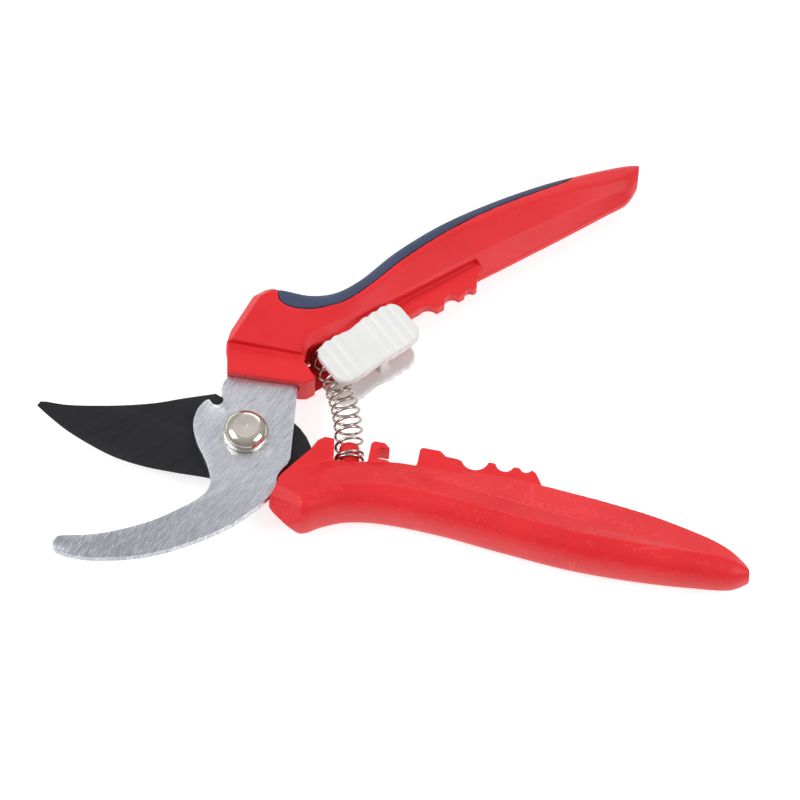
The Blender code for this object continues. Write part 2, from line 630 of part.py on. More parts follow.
def lower_web_outline():
    top = TEETH_LINE - TEETH_CLEARANCE
    return [(55.0, -3.0), (55.0, 5.2), (60.6, 5.0), (66.0, 4.0), (66.0, top), (82.6, top), (83.8, 5.2),
            (86.8, 0.6), (86.8, -3.0)]


def lower_handle(lower):
    handle = grip("lower_handle", LOWER_BACK, LOWER_INNER, LOWER_SIZES, lower)
    cut_facets(handle, LOWER_FACETS, lower)
    for name, outline, half in (("flange", flange_outline(), FLANGE_HALF),
                                ("catch", catch_outline(), FLANGE_HALF),
                                ("block", block_outline(), FLANGE_HALF + 0.1),
                                ("lower_web", lower_web_outline(), WEB_HALF)):
        boolean(handle, hide_tool(prism(name, outline, -half, half, lower)), "UNION")
    boolean(handle, hide_tool(peg("lower_peg", LOWER_SEAT, LOWER_SEAT_ANGLE, LOWER_PEG,
                                  PEG_DIAMETER, parent=lower)), "UNION")
    boolean(handle, catch_notch(lower))
    for number, (x, diameter) in enumerate(LOWER_SCALLOPS):
        boolean(handle, hide_tool(cylinder(f"lower_scallop_{number}", diameter,
                                           -FLANGE_HALF - OVER, FLANGE_HALF + OVER,
                                           (x, TEETH_LINE), 24, lower)))
    boolean(handle, slot_cutter("blade_slot", blade_outline(), BLADE_BOTTOM, BLADE_TOP, lower))
    boolean(handle, open_stop(lower))
    paint(handle, RED, 0.42)


def open_stop(lower):
    """The nose rests against the counter blade's heel when the tool is fully open."""
    at_rest = [turned(p, OPEN_ANGLE) for p in counter_outline()]
    return slot_cutter("open_stop", at_rest, COUNTER_BOTTOM, CROWN_HALF + OVER, lower)


def catch_notch(lower):
    """The space that the lock's bar slides through when the tool is shut."""
    bar = turned(LOCK_BAR_AT, LOCK_ANGLE) + Vector(LOCK_CENTRE)
    slide = turned((LOCK_TRAVEL, 0), LOCK_ANGLE)
    half = LOCK_BAR[1] / 2 + NOTCH_PLAY
    start = bar - slide - Vector((LOCK_BAR[0] / 2 + NOTCH_PLAY, 0))
    rise = math.tan(math.radians(LOCK_ANGLE)) * (BLOCK_FRONT - start.x)
    outline = [start + Vector((0, -half)), Vector((BLOCK_FRONT, start.y - half)),
               Vector((BLOCK_FRONT, start.y + half + rise)), start + Vector((0, half))]
    return hide_tool(prism("catch_notch", outline, -CROWN_HALF - OVER, CROWN_HALF + OVER, lower))


# ---------------------------------------------------------------- lock and spring

def lock_latch(root):
    pivot = bpy.data.objects.new("lock_slide", None)
    bpy.context.scene.collection.objects.link(pivot)
    pivot.parent = root
    pivot.location = (LOCK_CENTRE[0] * MM, LOCK_CENTRE[1] * MM, 0)
    pivot.rotation_euler = (0, 0, math.radians(LOCK_ANGLE))
    outline = rounded_box(LOCK_LENGTH, LOCK_WIDTH, LOCK_CORNER, 5)
    lock = prism("lock_latch", outline, LOCK_INSIDE, LOCK_INSIDE + LOCK_PLATE, pivot)
    pieces = (("lock_back", outline, -LOCK_INSIDE - LOCK_PLATE, -LOCK_INSIDE),
              ("lock_bar", rounded_box(*LOCK_BAR, 0.3, 2, LOCK_BAR_AT), -LOCK_INSIDE - 1,
               LOCK_INSIDE + 1),
              ("lock_guide", rounded_box(*LOCK_GUIDE, 0.3, 2, LOCK_GUIDE_AT), -LOCK_INSIDE - 1,
               LOCK_INSIDE + 1))
    for name, shape, bottom, top in pieces:
        boolean(lock, hide_tool(prism(name, shape, bottom, top, pivot)), "UNION")
    paint(lock, WHITE, 0.4)


def spring_axis(t, start, start_way, end, end_way):
    a, d = Vector(start), Vector(end)
    b = a + start_way * SPRING_REACH
    c = d - end_way * SPRING_REACH
    s = 1 - t
    point = a * s ** 3 + b * 3 * s * s * t + c * 3 * s * t * t + d * t ** 3
    way = (b - a) * s * s + (c - b) * 2 * s * t + (d - c) * t * t
    return point, way.normalized()


def return_spring(root):
    """A wire wound round a bowed axis from the lower seat to the upper one."""
    start_angle = math.radians(LOWER_SEAT_ANGLE - OPEN_ANGLE)
    end_angle = math.radians(UPPER_SEAT_ANGLE)
    start_way = Vector((math.cos(start_angle), math.sin(start_angle)))
    end_way = Vector((math.cos(end_angle), math.sin(end_angle)))
    margin = SPRING_WIRE / 2 + GAP
    start = turned(LOWER_SEAT, -OPEN_ANGLE) + start_way * margin
    end = Vector(UPPER_SEAT) - end_way * margin
    coil_radius = (SPRING_DIAMETER - SPRING_WIRE) / 2
    per_turn, sides = 14, 6
    total = round(SPRING_TURNS * per_turn)
    path = []
    for i in range(total + 1):
        t = i / total
        centre, way = spring_axis(coil_spacing(t), start, start_way, end, end_way)
        across = Vector((-way.y, way.x))
        a = 2 * math.pi * i / per_turn
        spot = centre + across * coil_radius * math.cos(a)
        path.append(Vector((spot.x, spot.y, coil_radius * math.sin(a))))
    spring = ringed_solid("return_spring", wire_rings(path, SPRING_WIRE / 2, sides), root)
    smooth(spring, 50)
    paint(spring, NICKEL, 0.2, 1.0)


def coil_spacing(t):
    """Closed end turns and even turns between them."""
    closed = 1.2 / SPRING_TURNS
    tight = closed * 0.25
    if t < closed:
        return t * tight / closed
    if t > 1 - closed:
        return 1 - (1 - t) * tight / closed
    return tight + (t - closed) * (1 - 2 * tight) / (1 - 2 * closed)


def wire_rings(path, radius, sides):
    rings = []
    for i, point in enumerate(path):
        way = (path[min(i + 1, len(path) - 1)] - path[max(i - 1, 0)]).normalized()
        side = way.cross(Vector((0, 0, 1)))
        if side.length < 0.2:
            side = way.cross(Vector((0, 1, 0)))
        side.normalize()
        rise = side.cross(way)
        ring = []
        for k in range(sides):
            a = 2 * math.pi * k / sides
            ring.append(point + side * radius * math.cos(a) + rise * radius * math.sin(a))
        rings.append(ring)
    return rings


def main():
    clear_scene()
    root = bpy.data.objects.new("pruner_frame", None)
    root.location = (0, 0, -HEAD_TOP * MM)
    lower = bpy.data.objects.new("lower_half", None)
    lower.parent = root
    lower.rotation_euler = (0, 0, math.radians(-OPEN_ANGLE))
    for empty in (root, lower):
        bpy.context.scene.collection.objects.link(empty)
    counter_blade(root)
    cutting_blade(lower)
    pivot_bolt(root)
    pivot_washer(root)
    pivot_nut(root)
    upper_handle(root)
    upper_grip_insert(root)
    lower_handle(lower)
    return_spring(root)
    lock_latch(root)


main()
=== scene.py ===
"""Bypass pruner: the visible surfaces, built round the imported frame.

Lengths are millimetres until to_row() turns a piece into the row frame's metres. Heights are
measured from the shear plane, where the two blades slide on each other. Pieces of the lower
half are drawn with the tool shut and turned open about the pivot.
"""
import math

import bmesh
import bpy
from mathutils import Matrix, Vector


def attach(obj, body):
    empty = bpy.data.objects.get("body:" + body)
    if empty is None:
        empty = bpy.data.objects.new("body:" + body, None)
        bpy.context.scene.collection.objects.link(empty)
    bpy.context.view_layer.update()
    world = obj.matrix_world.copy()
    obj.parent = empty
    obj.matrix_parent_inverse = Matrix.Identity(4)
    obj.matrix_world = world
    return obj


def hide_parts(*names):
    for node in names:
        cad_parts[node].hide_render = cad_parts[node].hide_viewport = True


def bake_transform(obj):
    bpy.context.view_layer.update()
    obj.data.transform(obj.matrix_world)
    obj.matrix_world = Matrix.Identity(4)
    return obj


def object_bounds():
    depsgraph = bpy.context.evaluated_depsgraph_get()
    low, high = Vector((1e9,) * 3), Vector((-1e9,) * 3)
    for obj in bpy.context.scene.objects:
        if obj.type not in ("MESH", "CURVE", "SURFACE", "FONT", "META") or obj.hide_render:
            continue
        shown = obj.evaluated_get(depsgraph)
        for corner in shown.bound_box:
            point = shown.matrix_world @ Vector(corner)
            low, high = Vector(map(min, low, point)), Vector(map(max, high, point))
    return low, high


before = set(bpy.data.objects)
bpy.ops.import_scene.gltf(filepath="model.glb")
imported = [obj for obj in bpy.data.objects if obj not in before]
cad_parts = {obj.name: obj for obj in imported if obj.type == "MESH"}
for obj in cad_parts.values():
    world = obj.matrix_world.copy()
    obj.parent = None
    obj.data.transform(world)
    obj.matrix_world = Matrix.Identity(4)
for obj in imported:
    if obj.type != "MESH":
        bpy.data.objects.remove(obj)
CAD_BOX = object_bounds()

MM = 0.001
GAP = 0.3
OPEN_ANGLE = 43.4
SHEAR_PLANE = -6.95             # row height of the shear plane, millimetres
OVER = 4.0                      # how far a cutter runs past what it cuts

COUNTER_BOTTOM, COUNTER_TOP = 0.15, 2.55
BLADE_TOP, BLADE_BOTTOM = -0.15, -2.55
COUNTER_REACH, BLADE_REACH, HANDLE_REACH = 65.3, 61.0, 148.2
HOOK_START, WEB_END, UPPER_WEB_END = -20.0, 88.4, 87.6
CROWN_HALF, CROWN_ROUND = 8.5, 7.0
LIP_HALF, RAIL_HALF, FLANGE_HALF, WEB_HALF = 5.3, 5.2, 3.3, 2.1
TEETH_LINE, TEETH_CLEARANCE = 6.45, 0.55
UPPER_SCALLOPS = ((66.3, 6.2), (74.6, 5.0), (80.6, 3.0))
LOWER_SCALLOPS = ((65.8, 8.0), (74.5, 5.3), (80.6, 3.4))
LOCK_LENGTH, LOCK_WIDTH, LOCK_PLATE, LOCK_TRAVEL = 29.5, 15.4, 2.8, 7.5
LOCK_CENTRE, LOCK_ANGLE, LOCK_INSIDE, LOCK_CORNER = (44.2, 4.6), 4.5, 5.6, 4.4
LOCK_BAR, LOCK_BAR_AT = (3.0, 2.4), (3.2, -2.9)
LOCK_GUIDE, LOCK_GUIDE_AT = (4.0, 2.8), (7.0, 5.9)
SPRING_DIAMETER, SPRING_WIRE, SPRING_TURNS, SPRING_REACH = 8.6, 0.85, 12.5, 17.0
LOWER_SEAT, LOWER_SEAT_ANGLE = (30.7, -2.3), 100.7
UPPER_SEAT, UPPER_SEAT_ANGLE = (33.9, 12.8), 78.5
PEG_DIAMETER, LOWER_PEG, UPPER_PEG = 5.9, 6.0, 4.0
NOSE_END, FLANGE_END, BLOCK_FRONT = 25.9, 26.2, 49.9
CATCH_START, CATCH_END = 35.8, 41.8
RAIL_START, RAIL_END = 38.6, 57.4
HEAD_BASE, HEAD_HEIGHT, HEAD_RIM = 2.85, 4.1, 0.7
HEAD_DIAMETER, HEAD_FLAT = 13.2, 7.3
SHANK_DIAMETER, WASHER_DIAMETER = 6.0, 12.0
WASHER_TOP, WASHER_BOTTOM = -2.85, -3.85
NUT_TOP, NUT_BOTTOM, NUT_FLATS = -4.15, -7.75, 10.0

VOXEL, LOCK_VOXEL = 0.27, 0.22  # cells of the meshes that round the mouldings' edges
WELD = 0.0005                   # closer points are one
FLOOR_PLAY = 0.35               # under the spring's upper end
POCKET_PLAY = 0.5               # beside the spring's upper end
BAR_PLAY = 0.45                 # round the lock's bar in the lower half's catch
SEAM_HARD, SEAM_SOFT = -0.10, 0.08      # the insert's seat and the insert, off its plan line
BEVEL_WIDTH = 3.4               # how far in the cutting edge is ground
BEVEL_LAND = 0.4                # how far below the top face the edge stays
DOME_END = 74.0                 # where the bolt's dome gives way to its disc, degrees up
THREAD_DEPTH, THREAD_PITCH = 0.45, 1.0
WASHER_EDGE = 0.18              # how far the washer's corners are taken off


# ---------------------------------------------------------------- plan curves

def spline(points, steps):
    """Points along a smooth curve through the given ones, from the first to the last."""
    ends = [2 * Vector(points[0]) - Vector(points[1]), 2 * Vector(points[-1]) - Vector(points[-2])]
    knots = [ends[0]] + [Vector(p) for p in points] + [ends[1]]
    return catmull(knots, steps)


def catmull(knots, steps):
    """Points along a Catmull-Rom curve through all knots but the first and the last."""
    out = []
    for a, b, c, d in zip(knots, knots[1:], knots[2:], knots[3:]):
        for step in range(steps):
            t = step / steps
            out.append(0.5 * (2 * b + (c - a) * t + (2 * a - 5 * b + 4 * c - d) * t * t
                              + (3 * b - a - 3 * c + d) * t ** 3))
    out.append(knots[-2])
    return out


def arc(centre, radius, start, end, steps):
    angles = [math.radians(start + (end - start) * i / steps) for i in range(steps + 1)]
    return [Vector((centre[0] + radius * math.cos(a), centre[1] + radius * math.sin(a)))
            for a in angles]


def rounded_box(length, width, radius, steps=4, centre=(0.0, 0.0)):
    out = []
    for quarter, (sx, sy) in enumerate(((1, 1), (-1, 1), (-1, -1), (1, -1))):
        corner = (centre[0] + sx * (length / 2 - radius), centre[1] + sy * (width / 2 - radius))
        out += arc(corner, radius, 90 * quarter, 90 * quarter + 90, steps)
    return out


def heading(angle):
    return Vector((math.cos(math.radians(angle)), math.sin(math.radians(angle))))


def turned(point, angle):
    return Matrix.Rotation(math.radians(angle), 2) @ Vector(point[:2])


def on_lock(point):
    """A point of the lock's own plan, put where the lock stands at rest."""
    return turned(point, LOCK_ANGLE) + Vector(LOCK_CENTRE)


def offset_line(points, distance):
    """The open line moved sideways, to the left of its direction."""
    out = []
    for i, point in enumerate(points):
        along = (points[min(i + 1, len(points) - 1)] - points[max(i - 1, 0)]).normalized()
        out.append(point + distance * Vector((-along.y, along.x)))
    return out


def past(start, reach, points):
    """Outline points beyond start, given as the share of the way from it to the reach."""
    return tuple((start + share * (reach - start), y) for share, y in points)


# ---------------------------------------------------------------- solids

def linked(name, data):
    obj = bpy.data.objects.new(name, data)
    bpy.context.scene.collection.objects.link(obj)
    return obj


def add_object(name, bm):
    bmesh.ops.recalc_face_normals(bm, faces=bm.faces)
    mesh = bpy.data.meshes.new(name)
    bm.to_mesh(mesh)
    bm.free()
    return linked(name, mesh)


def prism(name, outline, bottom, top):
    bm = bmesh.new()
    face = bm.faces.new([bm.verts.new((p[0], p[1], bottom)) for p in outline])
    lifted = bmesh.ops.extrude_face_region(bm, geom=[face])["geom"]
    verts = [v for v in lifted if isinstance(v, bmesh.types.BMVert)]
    bmesh.ops.translate(bm, vec=(0, 0, top - bottom), verts=verts)
    return add_object(name, bm)


def ringed_solid(name, rings, triangles=True):
    """A closed solid through rings of equal point counts, capped at both ends."""
    bm = bmesh.new()
    rows = [[bm.verts.new(p) for p in ring] for ring in rings]
    count = len(rows[0])
    for row, following in zip(rows, rows[1:]):
        for i in range(count):
            j = (i + 1) % count
            bm.faces.new((row[i], row[j], following[j], following[i]))
    bm.faces.new(rows[0])
    bm.faces.new(rows[-1])
    if triangles:
        bmesh.ops.triangulate(bm, faces=bm.faces)
    return add_object(name, bm)


def turned_solid(name, profile, sides, closed=False):
    """A solid of revolution about Z through (radius, height) points.

    The profile runs from axis to axis, or back to its first point when it is closed.
    """
    bm = bmesh.new()
    verts = [bm.verts.new((r, 0, z)) for r, z in profile]
    following = verts[1:] + verts[:1] if closed else verts[1:]
    edges = [bm.edges.new(pair) for pair in zip(verts, following)]
    bmesh.ops.spin(bm, geom=verts + edges, cent=(0, 0, 0), axis=(0, 0, 1),
                   angle=2 * math.pi, steps=sides, use_duplicate=False)
    bmesh.ops.remove_doubles(bm, verts=bm.verts, dist=WELD)
    return add_object(name, bm)


def cylinder(name, diameter, bottom, top, centre=(0.0, 0.0), sides=64):
    return prism(name, arc(centre, diameter / 2, 0, 360 - 360 / sides, sides - 1), bottom, top)


def peg(foot, angle, length, sink=2.5, tip=0.8, sides=40):
    """One of the spring's pegs, sunk into its handle and tapered over its tip."""
    along = heading(angle)
    across = Vector((-along.y, along.x))
    rings = []
    for reach, share in ((-sink, 1.0), (length - tip, 1.0), (length, 0.8)):
        centre = Vector(foot) + along * reach
        radius = PEG_DIAMETER / 2 * share
        ring = []
        for i in range(sides):
            a = 2 * math.pi * i / sides
            spot = centre + across * radius * math.cos(a)
            ring.append((spot.x, spot.y, radius * math.sin(a)))
        rings.append(ring)
    return ringed_solid("peg", rings)


def baked(obj, tools=()):
    """The object's mesh with its modifiers applied, and its tools removed."""
    depsgraph = bpy.context.evaluated_depsgraph_get()
    mesh = bpy.data.meshes.new_from_object(obj.evaluated_get(depsgraph))
    obj.modifiers.clear()
    obj.data = mesh
    for tool in tools:
        bpy.data.objects.remove(tool, do_unlink=True)
    return obj


def cut(obj, steps):
    """Applies Boolean steps, each an operation and its tool, in order."""
    for operation, tool in steps:
        modifier = obj.modifiers.new(tool.name, "BOOLEAN")
        modifier.operation = operation
        modifier.solver = "EXACT"
        modifier.object = tool
    bpy.context.view_layer.update()
    return baked(obj, [tool for _, tool in steps])


def moulded(obj, passes=5, voxel=VOXEL):
    """Remeshes the solid evenly and rounds its edges, as a moulding's are."""
    remesh = obj.modifiers.new("even", "REMESH")
    remesh.mode = "VOXEL"
    remesh.voxel_size = voxel
    remesh.use_smooth_shade = True
    rounding = obj.modifiers.new("rounding", "SMOOTH")
    rounding.factor = 0.5
    rounding.iterations = passes
    return baked(obj)


def chamfered(obj, width, segments=2, angle=40.0):
    """Bevels the edges that turn by more than the angle."""
    bevel = obj.modifiers.new("edge", "BEVEL")
    bevel.width = width
    bevel.segments = segments
    bevel.limit_method = "ANGLE"
    bevel.angle_limit = math.radians(angle)
    return baked(obj)


def to_row(obj, angle=0.0):
    """Moves a finished piece from the design's millimetres into the row frame."""
    spin = Matrix.Rotation(math.radians(angle), 4, "Z")
    obj.data.transform(Matrix.Scale(MM, 4) @ Matrix.Translation((0, 0, SHEAR_PLANE)) @ spin)
    return obj


def finish_piece(obj, body, node, angle=0.0, sharp=35.0):
    """Turns a piece in place and tells the frame what it rides and replaces."""
    to_row(obj, angle)
    obj.data.shade_smooth()
    obj.data.set_sharp_from_angle(angle=math.radians(sharp))
    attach(obj, body)
    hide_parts(node)
    return obj


# ---------------------------------------------------------------- materials

def set_range(node, low, high, start, end):
    for name, number in (("From Min", low), ("From Max", high), ("To Min", start),
                         ("To Max", end)):
        node.inputs[name].default_value = number


class Look:
    """A small builder for one procedural material, its textures placed in the row frame."""

    def __init__(self, name):
        self.material = bpy.data.materials.new(name)
        self.material.use_nodes = True
        self.tree = self.material.node_tree
        self.shader = self.tree.nodes["Principled BSDF"]
        self.place = self.node("ShaderNodeTexCoord").outputs["Object"]

    def node(self, kind, **inputs):
        made = self.tree.nodes.new(kind)
        for key, value in inputs.items():
            self.feed(made.inputs[key.replace("_", " ")], value)
        return made

    def feed(self, socket, value):
        if isinstance(value, bpy.types.NodeSocket):
            self.tree.links.new(value, socket)
        else:
            socket.default_value = value

    def mapped(self, turn=0.0, scale=(1.0, 1.0, 1.0), place=None):
        """The place scaled along its axes and then turned about Z."""
        return self.node("ShaderNodeMapping", Vector=place or self.place,
                         Rotation=(0.0, 0.0, math.radians(turn)), Scale=scale).outputs[0]

    def noise(self, scale, detail=2.0, roughness=0.5, place=None):
        return self.node("ShaderNodeTexNoise", Vector=place or self.place, Scale=scale,
                         Detail=detail, Roughness=roughness).outputs["Fac"]

    def ramp(self, value, low, high, start=0.0, end=1.0):
        """Value between low and high, remapped to run from start to end."""
        made = self.node("ShaderNodeMapRange", Value=value)
        set_range(made, low, high, start, end)
        return made.outputs[0]

    def blend(self, share, first, second, kind="MIX"):
        made = self.tree.nodes.new("ShaderNodeMix")
        made.data_type = "RGBA"
        made.blend_type = kind
        self.feed(made.inputs[0], share)
        for socket, value in ((made.inputs[6], first), (made.inputs[7], second)):
            self.feed(socket, value if isinstance(value, bpy.types.NodeSocket) else (*value, 1.0))
        return made.outputs[2]

    def maths(self, kind, first, second):
        made = self.tree.nodes.new("ShaderNodeMath")
        made.operation = kind
        self.feed(made.inputs[0], first)
        self.feed(made.inputs[1], second)
        return made.outputs[0]

    def edges(self, low, high):
        """One on sharp convex edges, nought elsewhere."""
        point = self.tree.nodes.new("ShaderNodeNewGeometry").outputs["Pointiness"]
        return self.ramp(point, low, high)

    def bump(self, height, distance, strength=1.0, under=None):
        made = self.node("ShaderNodeBump", Height=height, Distance=distance, Strength=strength)
        if under:
            self.feed(made.inputs["Normal"], under)
        return made.outputs[0]

    def set(self, **sockets):
        for key, value in sockets.items():
            self.feed(self.shader.inputs[key.replace("_", " ")], value)
        return self.material


def paler(colour, gain, lift):
    return tuple(min(1.0, c * gain + lift) for c in colour)


def grained_plastic(name, deep, light, grain, rough, glint_share):
    """Moulded plastic with a fine spark-eroded grain, with painted glints in pale specks and a
    painted highlight on sharp edges.

    The roughness is given for the grain's crests and for its hollows.
    """
    look = Look(name)
    fine = look.noise(3400.0, 2.0, 0.6)
    coarse = look.noise(1500.0, 1.0)
    cloud = look.noise(55.0, 3.0)
    colour = look.blend(look.ramp(cloud, 0.35, 0.65), deep, light)
    # painted glints: pale specks painted into the colour where the fine grain peaks
    painted_glints = look.ramp(fine, 0.52, 0.70, 0.0, glint_share)
    colour = look.blend(painted_glints, colour, paler(light, 1.10, 0.06))
    # painted highlight: sharp convex edges are painted paler, up to 0.3 of the way to the pale
    # colour
    colour = look.blend(look.ramp(look.edges(0.53, 0.60), 0.0, 1.0, 0.0, 0.30), colour,
                        paler(light, 1.10, 0.05))
    roughness = look.ramp(fine, 0.35, 0.70, rough[1], rough[0])
    normal = look.bump(coarse, grain * 0.7, 0.5)
    normal = look.bump(fine, grain, 0.8, normal)
    return look.set(Base_Color=colour, Roughness=roughness, Normal=normal,
                    Specular_IOR_Level=0.38)


def scratches(look, angle, scale, detail=3.0):
    """Fine lines that run along one direction of the plan."""
    return look.noise(1.0, detail, 0.6, look.mapped(scale=scale, place=look.mapped(-angle)))


def brushed_steel():
    """Bright plate, ground in one direction with a few crossing scratches, with painted shade
    towards the hook.
    """
    look = Look("brushed_blade")
    long = scratches(look, 19.0, (160.0, 3600.0, 600.0))
    short = scratches(look, 11.0, (520.0, 6400.0, 600.0))
    cross = scratches(look, 27.0, (330.0, 5200.0, 600.0), 2.0)
    cloud = look.noise(26.0, 3.0)
    lines = look.maths("ADD", look.maths("MULTIPLY", long, 0.5),
                       look.maths("MULTIPLY", short, 0.5))
    colour = look.blend(look.ramp(lines, 0.40, 0.58), STEEL_GROOVE, STEEL_RIDGE)
    colour = look.blend(look.ramp(cloud, 0.3, 0.7, 0.0, 0.25), colour, STEEL_CLOUD)
    from_hook = look.node("ShaderNodeSeparateXYZ", Vector=look.place).outputs[0]
    # painted shade: the plate darkens towards the hook and stands in for a darker reflection there
    painted_hook_shade = look.ramp(from_hook, -0.050, -0.005, 0.60, 0.0)
    colour = look.blend(painted_hook_shade, colour, STEEL_PAINTED_SHADE)
    colour = look.blend(look.ramp(cross, 0.53, 0.64, 0.0, 0.7), colour, STEEL_SCRATCH)
    roughness = look.ramp(lines, 0.35, 0.65, 0.48, 0.25)
    normal = look.bump(lines, 0.00006, 0.6)
    normal = look.bump(cross, 0.00004, 0.5, normal)
    return look.set(Base_Color=colour, Roughness=roughness, Normal=normal, Metallic=1.0)


def coated_blade():
    """Satin black non-stick coating that lets the grinding below it show faintly."""
    look = Look("coated_blade")
    fine = look.noise(1500.0, 2.0)
    sweep = look.noise(1.0, 3.0, 0.6, look.mapped(30.0, (60.0, 900.0, 500.0)))
    colour = look.blend(look.ramp(sweep, 0.3, 0.7), BLACK_DEEP, BLACK_LIGHT)
    roughness = look.ramp(sweep, 0.3, 0.7, 0.40, 0.52)
    normal = look.bump(fine, 0.00002, 0.5)
    return look.set(Base_Color=colour, Roughness=roughness, Normal=normal,
                    Specular_IOR_Level=0.28)


def plated(name, tint, rough, pits=0.000012):
    """Plated metal with faint pits and handling marks."""
    look = Look(name)
    fine = look.noise(1100.0, 3.0)
    cloud = look.noise(180.0, 3.0, 0.6)
    handled = tuple(c * 0.86 for c in tint)
    colour = look.blend(look.ramp(cloud, 0.3, 0.7), handled, tint)
    roughness = look.ramp(cloud, 0.3, 0.7, rough, rough + 0.12)
    return look.set(Base_Color=colour, Roughness=roughness, Metallic=1.0,
                    Normal=look.bump(fine, pits, 0.6))


def white_plastic():
    """Smooth white moulding that lets a little light in."""
    look = Look("lock_plastic")
    cloud = look.noise(70.0, 3.0)
    fine = look.noise(2100.0, 2.0)
    colour = look.blend(look.ramp(cloud, 0.3, 0.7), WHITE_DEEP, WHITE_LIGHT)
    roughness = look.ramp(fine, 0.3, 0.7, 0.34, 0.44)
    return look.set(Base_Color=colour, Roughness=roughness, Normal=look.bump(fine, 0.000015, 0.5),
                    Subsurface_Weight=0.12, Subsurface_Radius=(0.004, 0.0035, 0.003))


RED_DEEP, RED_LIGHT = (0.70, 0.010, 0.015), (0.77, 0.017, 0.023)
NAVY_DEEP, NAVY_LIGHT = (0.034, 0.049, 0.100), (0.048, 0.067, 0.132)
BLACK_DEEP, BLACK_LIGHT = (0.008, 0.008, 0.010), (0.013, 0.013, 0.016)
WHITE_DEEP, WHITE_LIGHT = (0.74, 0.74, 0.73), (0.80, 0.80, 0.78)
STEEL_GROOVE, STEEL_RIDGE = (0.44, 0.45, 0.51), (0.86, 0.87, 0.94)
STEEL_CLOUD, STEEL_SCRATCH = (0.62, 0.63, 0.70), (0.93, 0.94, 0.98)
# colour of the painted shade towards the hook
STEEL_PAINTED_SHADE = (0.24, 0.25, 0.29)

LOOKS = {
    "grip": grained_plastic("grip_plastic", RED_DEEP, RED_LIGHT, 0.00003, (0.36, 0.52), 0.16),
    "insert": grained_plastic("soft_insert", NAVY_DEEP, NAVY_LIGHT, 0.00002, (0.55, 0.70), 0.10),
    "steel": brushed_steel(),
    "coating": coated_blade(),
    "nickel": plated("nickel", (0.74, 0.69, 0.60), 0.10),
    "disc": plated("nickel_matt", (0.66, 0.62, 0.57), 0.42, 0.00003),
    "zinc": plated("zinc", (0.62, 0.63, 0.66), 0.26),
    "wire": plated("spring_wire", (0.50, 0.46, 0.41), 0.12, 0.000008),
    "lock": white_plastic(),
}


def wear(obj, *looks):
    obj.data.materials.clear()
    for look in looks:
        obj.data.materials.append(LOOKS[look])
    return obj


# ---------------------------------------------------------------- outlines of the design

UPPER_BACK = ((9.6, 27.4), (17.3, 34.0), (25.2, 38.2), (31.6, 35.0), (38.2, 29.2), (45.5, 26.0),
              (54.8, 26.0), (68.0, 28.6), (84.0, 29.7)) + past(WEB_END, HANDLE_REACH, (
                  (0.20, 28.7), (0.50, 26.1), (0.75, 22.5), (0.92, 19.6), (1.0, 17.7)))
UPPER_INNER = ((26.8, 11.8), (29.0, 12.1), (32.0, 12.4), (35.5, 12.6), (40.0, 13.0), (46.0, 12.6),
               (54.0, 11.2), (67.0, 9.7), (83.0, 9.6)) + past(WEB_END, HANDLE_REACH, (
                   (0.19, 9.3), (0.46, 9.1), (0.70, 9.1), (0.83, 9.2), (0.925, 12.0)))
LOWER_BACK = ((11.0, -20.2), (13.9, -23.4), (18.0, -25.5), (22.2, -25.2), (26.6, -22.3),
              (33.5, -19.2), (44.0, -17.6), (60.0, -17.8), (78.0, -19.4)) + past(
                  WEB_END, HANDLE_REACH, ((0.16, -20.9), (0.48, -20.7), (0.75, -19.5),
                                          (0.925, -18.2), (1.01, -15.2)))
LOWER_INNER = ((11.0, -13.0), (14.2, -10.3), (18.2, -7.2), (21.6, -5.2), (26.0, -3.5),
               (33.5, -2.5), (44.0, -0.5), (60.0, 0.7), (78.0, 1.4)) + past(
                   WEB_END, HANDLE_REACH, ((0.16, 0.6), (0.48, -1.2), (0.75, -4.3),
                                           (0.895, -7.3), (0.99, -11.0)))

# for each station: where the crease lies from back to inner edge, and then three heights as
# shares of the full half thickness, at the crown, at the crease and at the inner edge, and last
# how wide the back rounds off, as a share of the full rounding
UPPER_SIZES = ((0.96, 0.92, 0.82, 0.59, 0.30), (0.88, 0.97, 0.85, 0.59, 0.30),
               (0.84, 1.0, 0.85, 0.59, 0.34), (0.82, 1.0, 0.85, 0.59, 0.80),
               (0.80, 1.0, 0.82, 0.56, 1.0), (0.78, 1.0, 0.79, 0.54, 1.0),
               (0.76, 1.0, 0.72, 0.36, 1.0), (0.72, 1.0, 0.65, 0.19, 1.0),
               (0.72, 1.0, 0.60, 0.13, 1.0), (0.73, 0.97, 0.60, 0.13, 1.0),
               (0.74, 0.90, 0.59, 0.13, 1.0), (0.76, 0.80, 0.54, 0.13, 1.0),
               (0.78, 0.65, 0.47, 0.13, 1.0), (0.80, 0.41, 0.31, 0.12, 1.0))
LOWER_SIZES = ((0.60, 0.80, 0.62, 0.36, 0.60), (0.60, 0.90, 0.68, 0.36, 0.70),
               (0.62, 0.97, 0.70, 0.36, 0.85), (0.68, 1.0, 0.70, 0.36, 1.0),
               (0.78, 1.0, 0.68, 0.38, 1.0), (0.84, 1.0, 0.63, 0.40, 1.0),
               (0.82, 1.0, 0.60, 0.37, 1.0), (0.68, 1.0, 0.60, 0.35, 1.0),
               (0.60, 1.0, 0.60, 0.35, 1.0), (0.56, 0.97, 0.60, 0.30, 1.0),
               (0.54, 0.92, 0.60, 0.26, 1.0), (0.52, 0.83, 0.58, 0.235, 1.0),
               (0.52, 0.70, 0.53, 0.22, 1.0), (0.50, 0.43, 0.36, 0.14, 1.0))

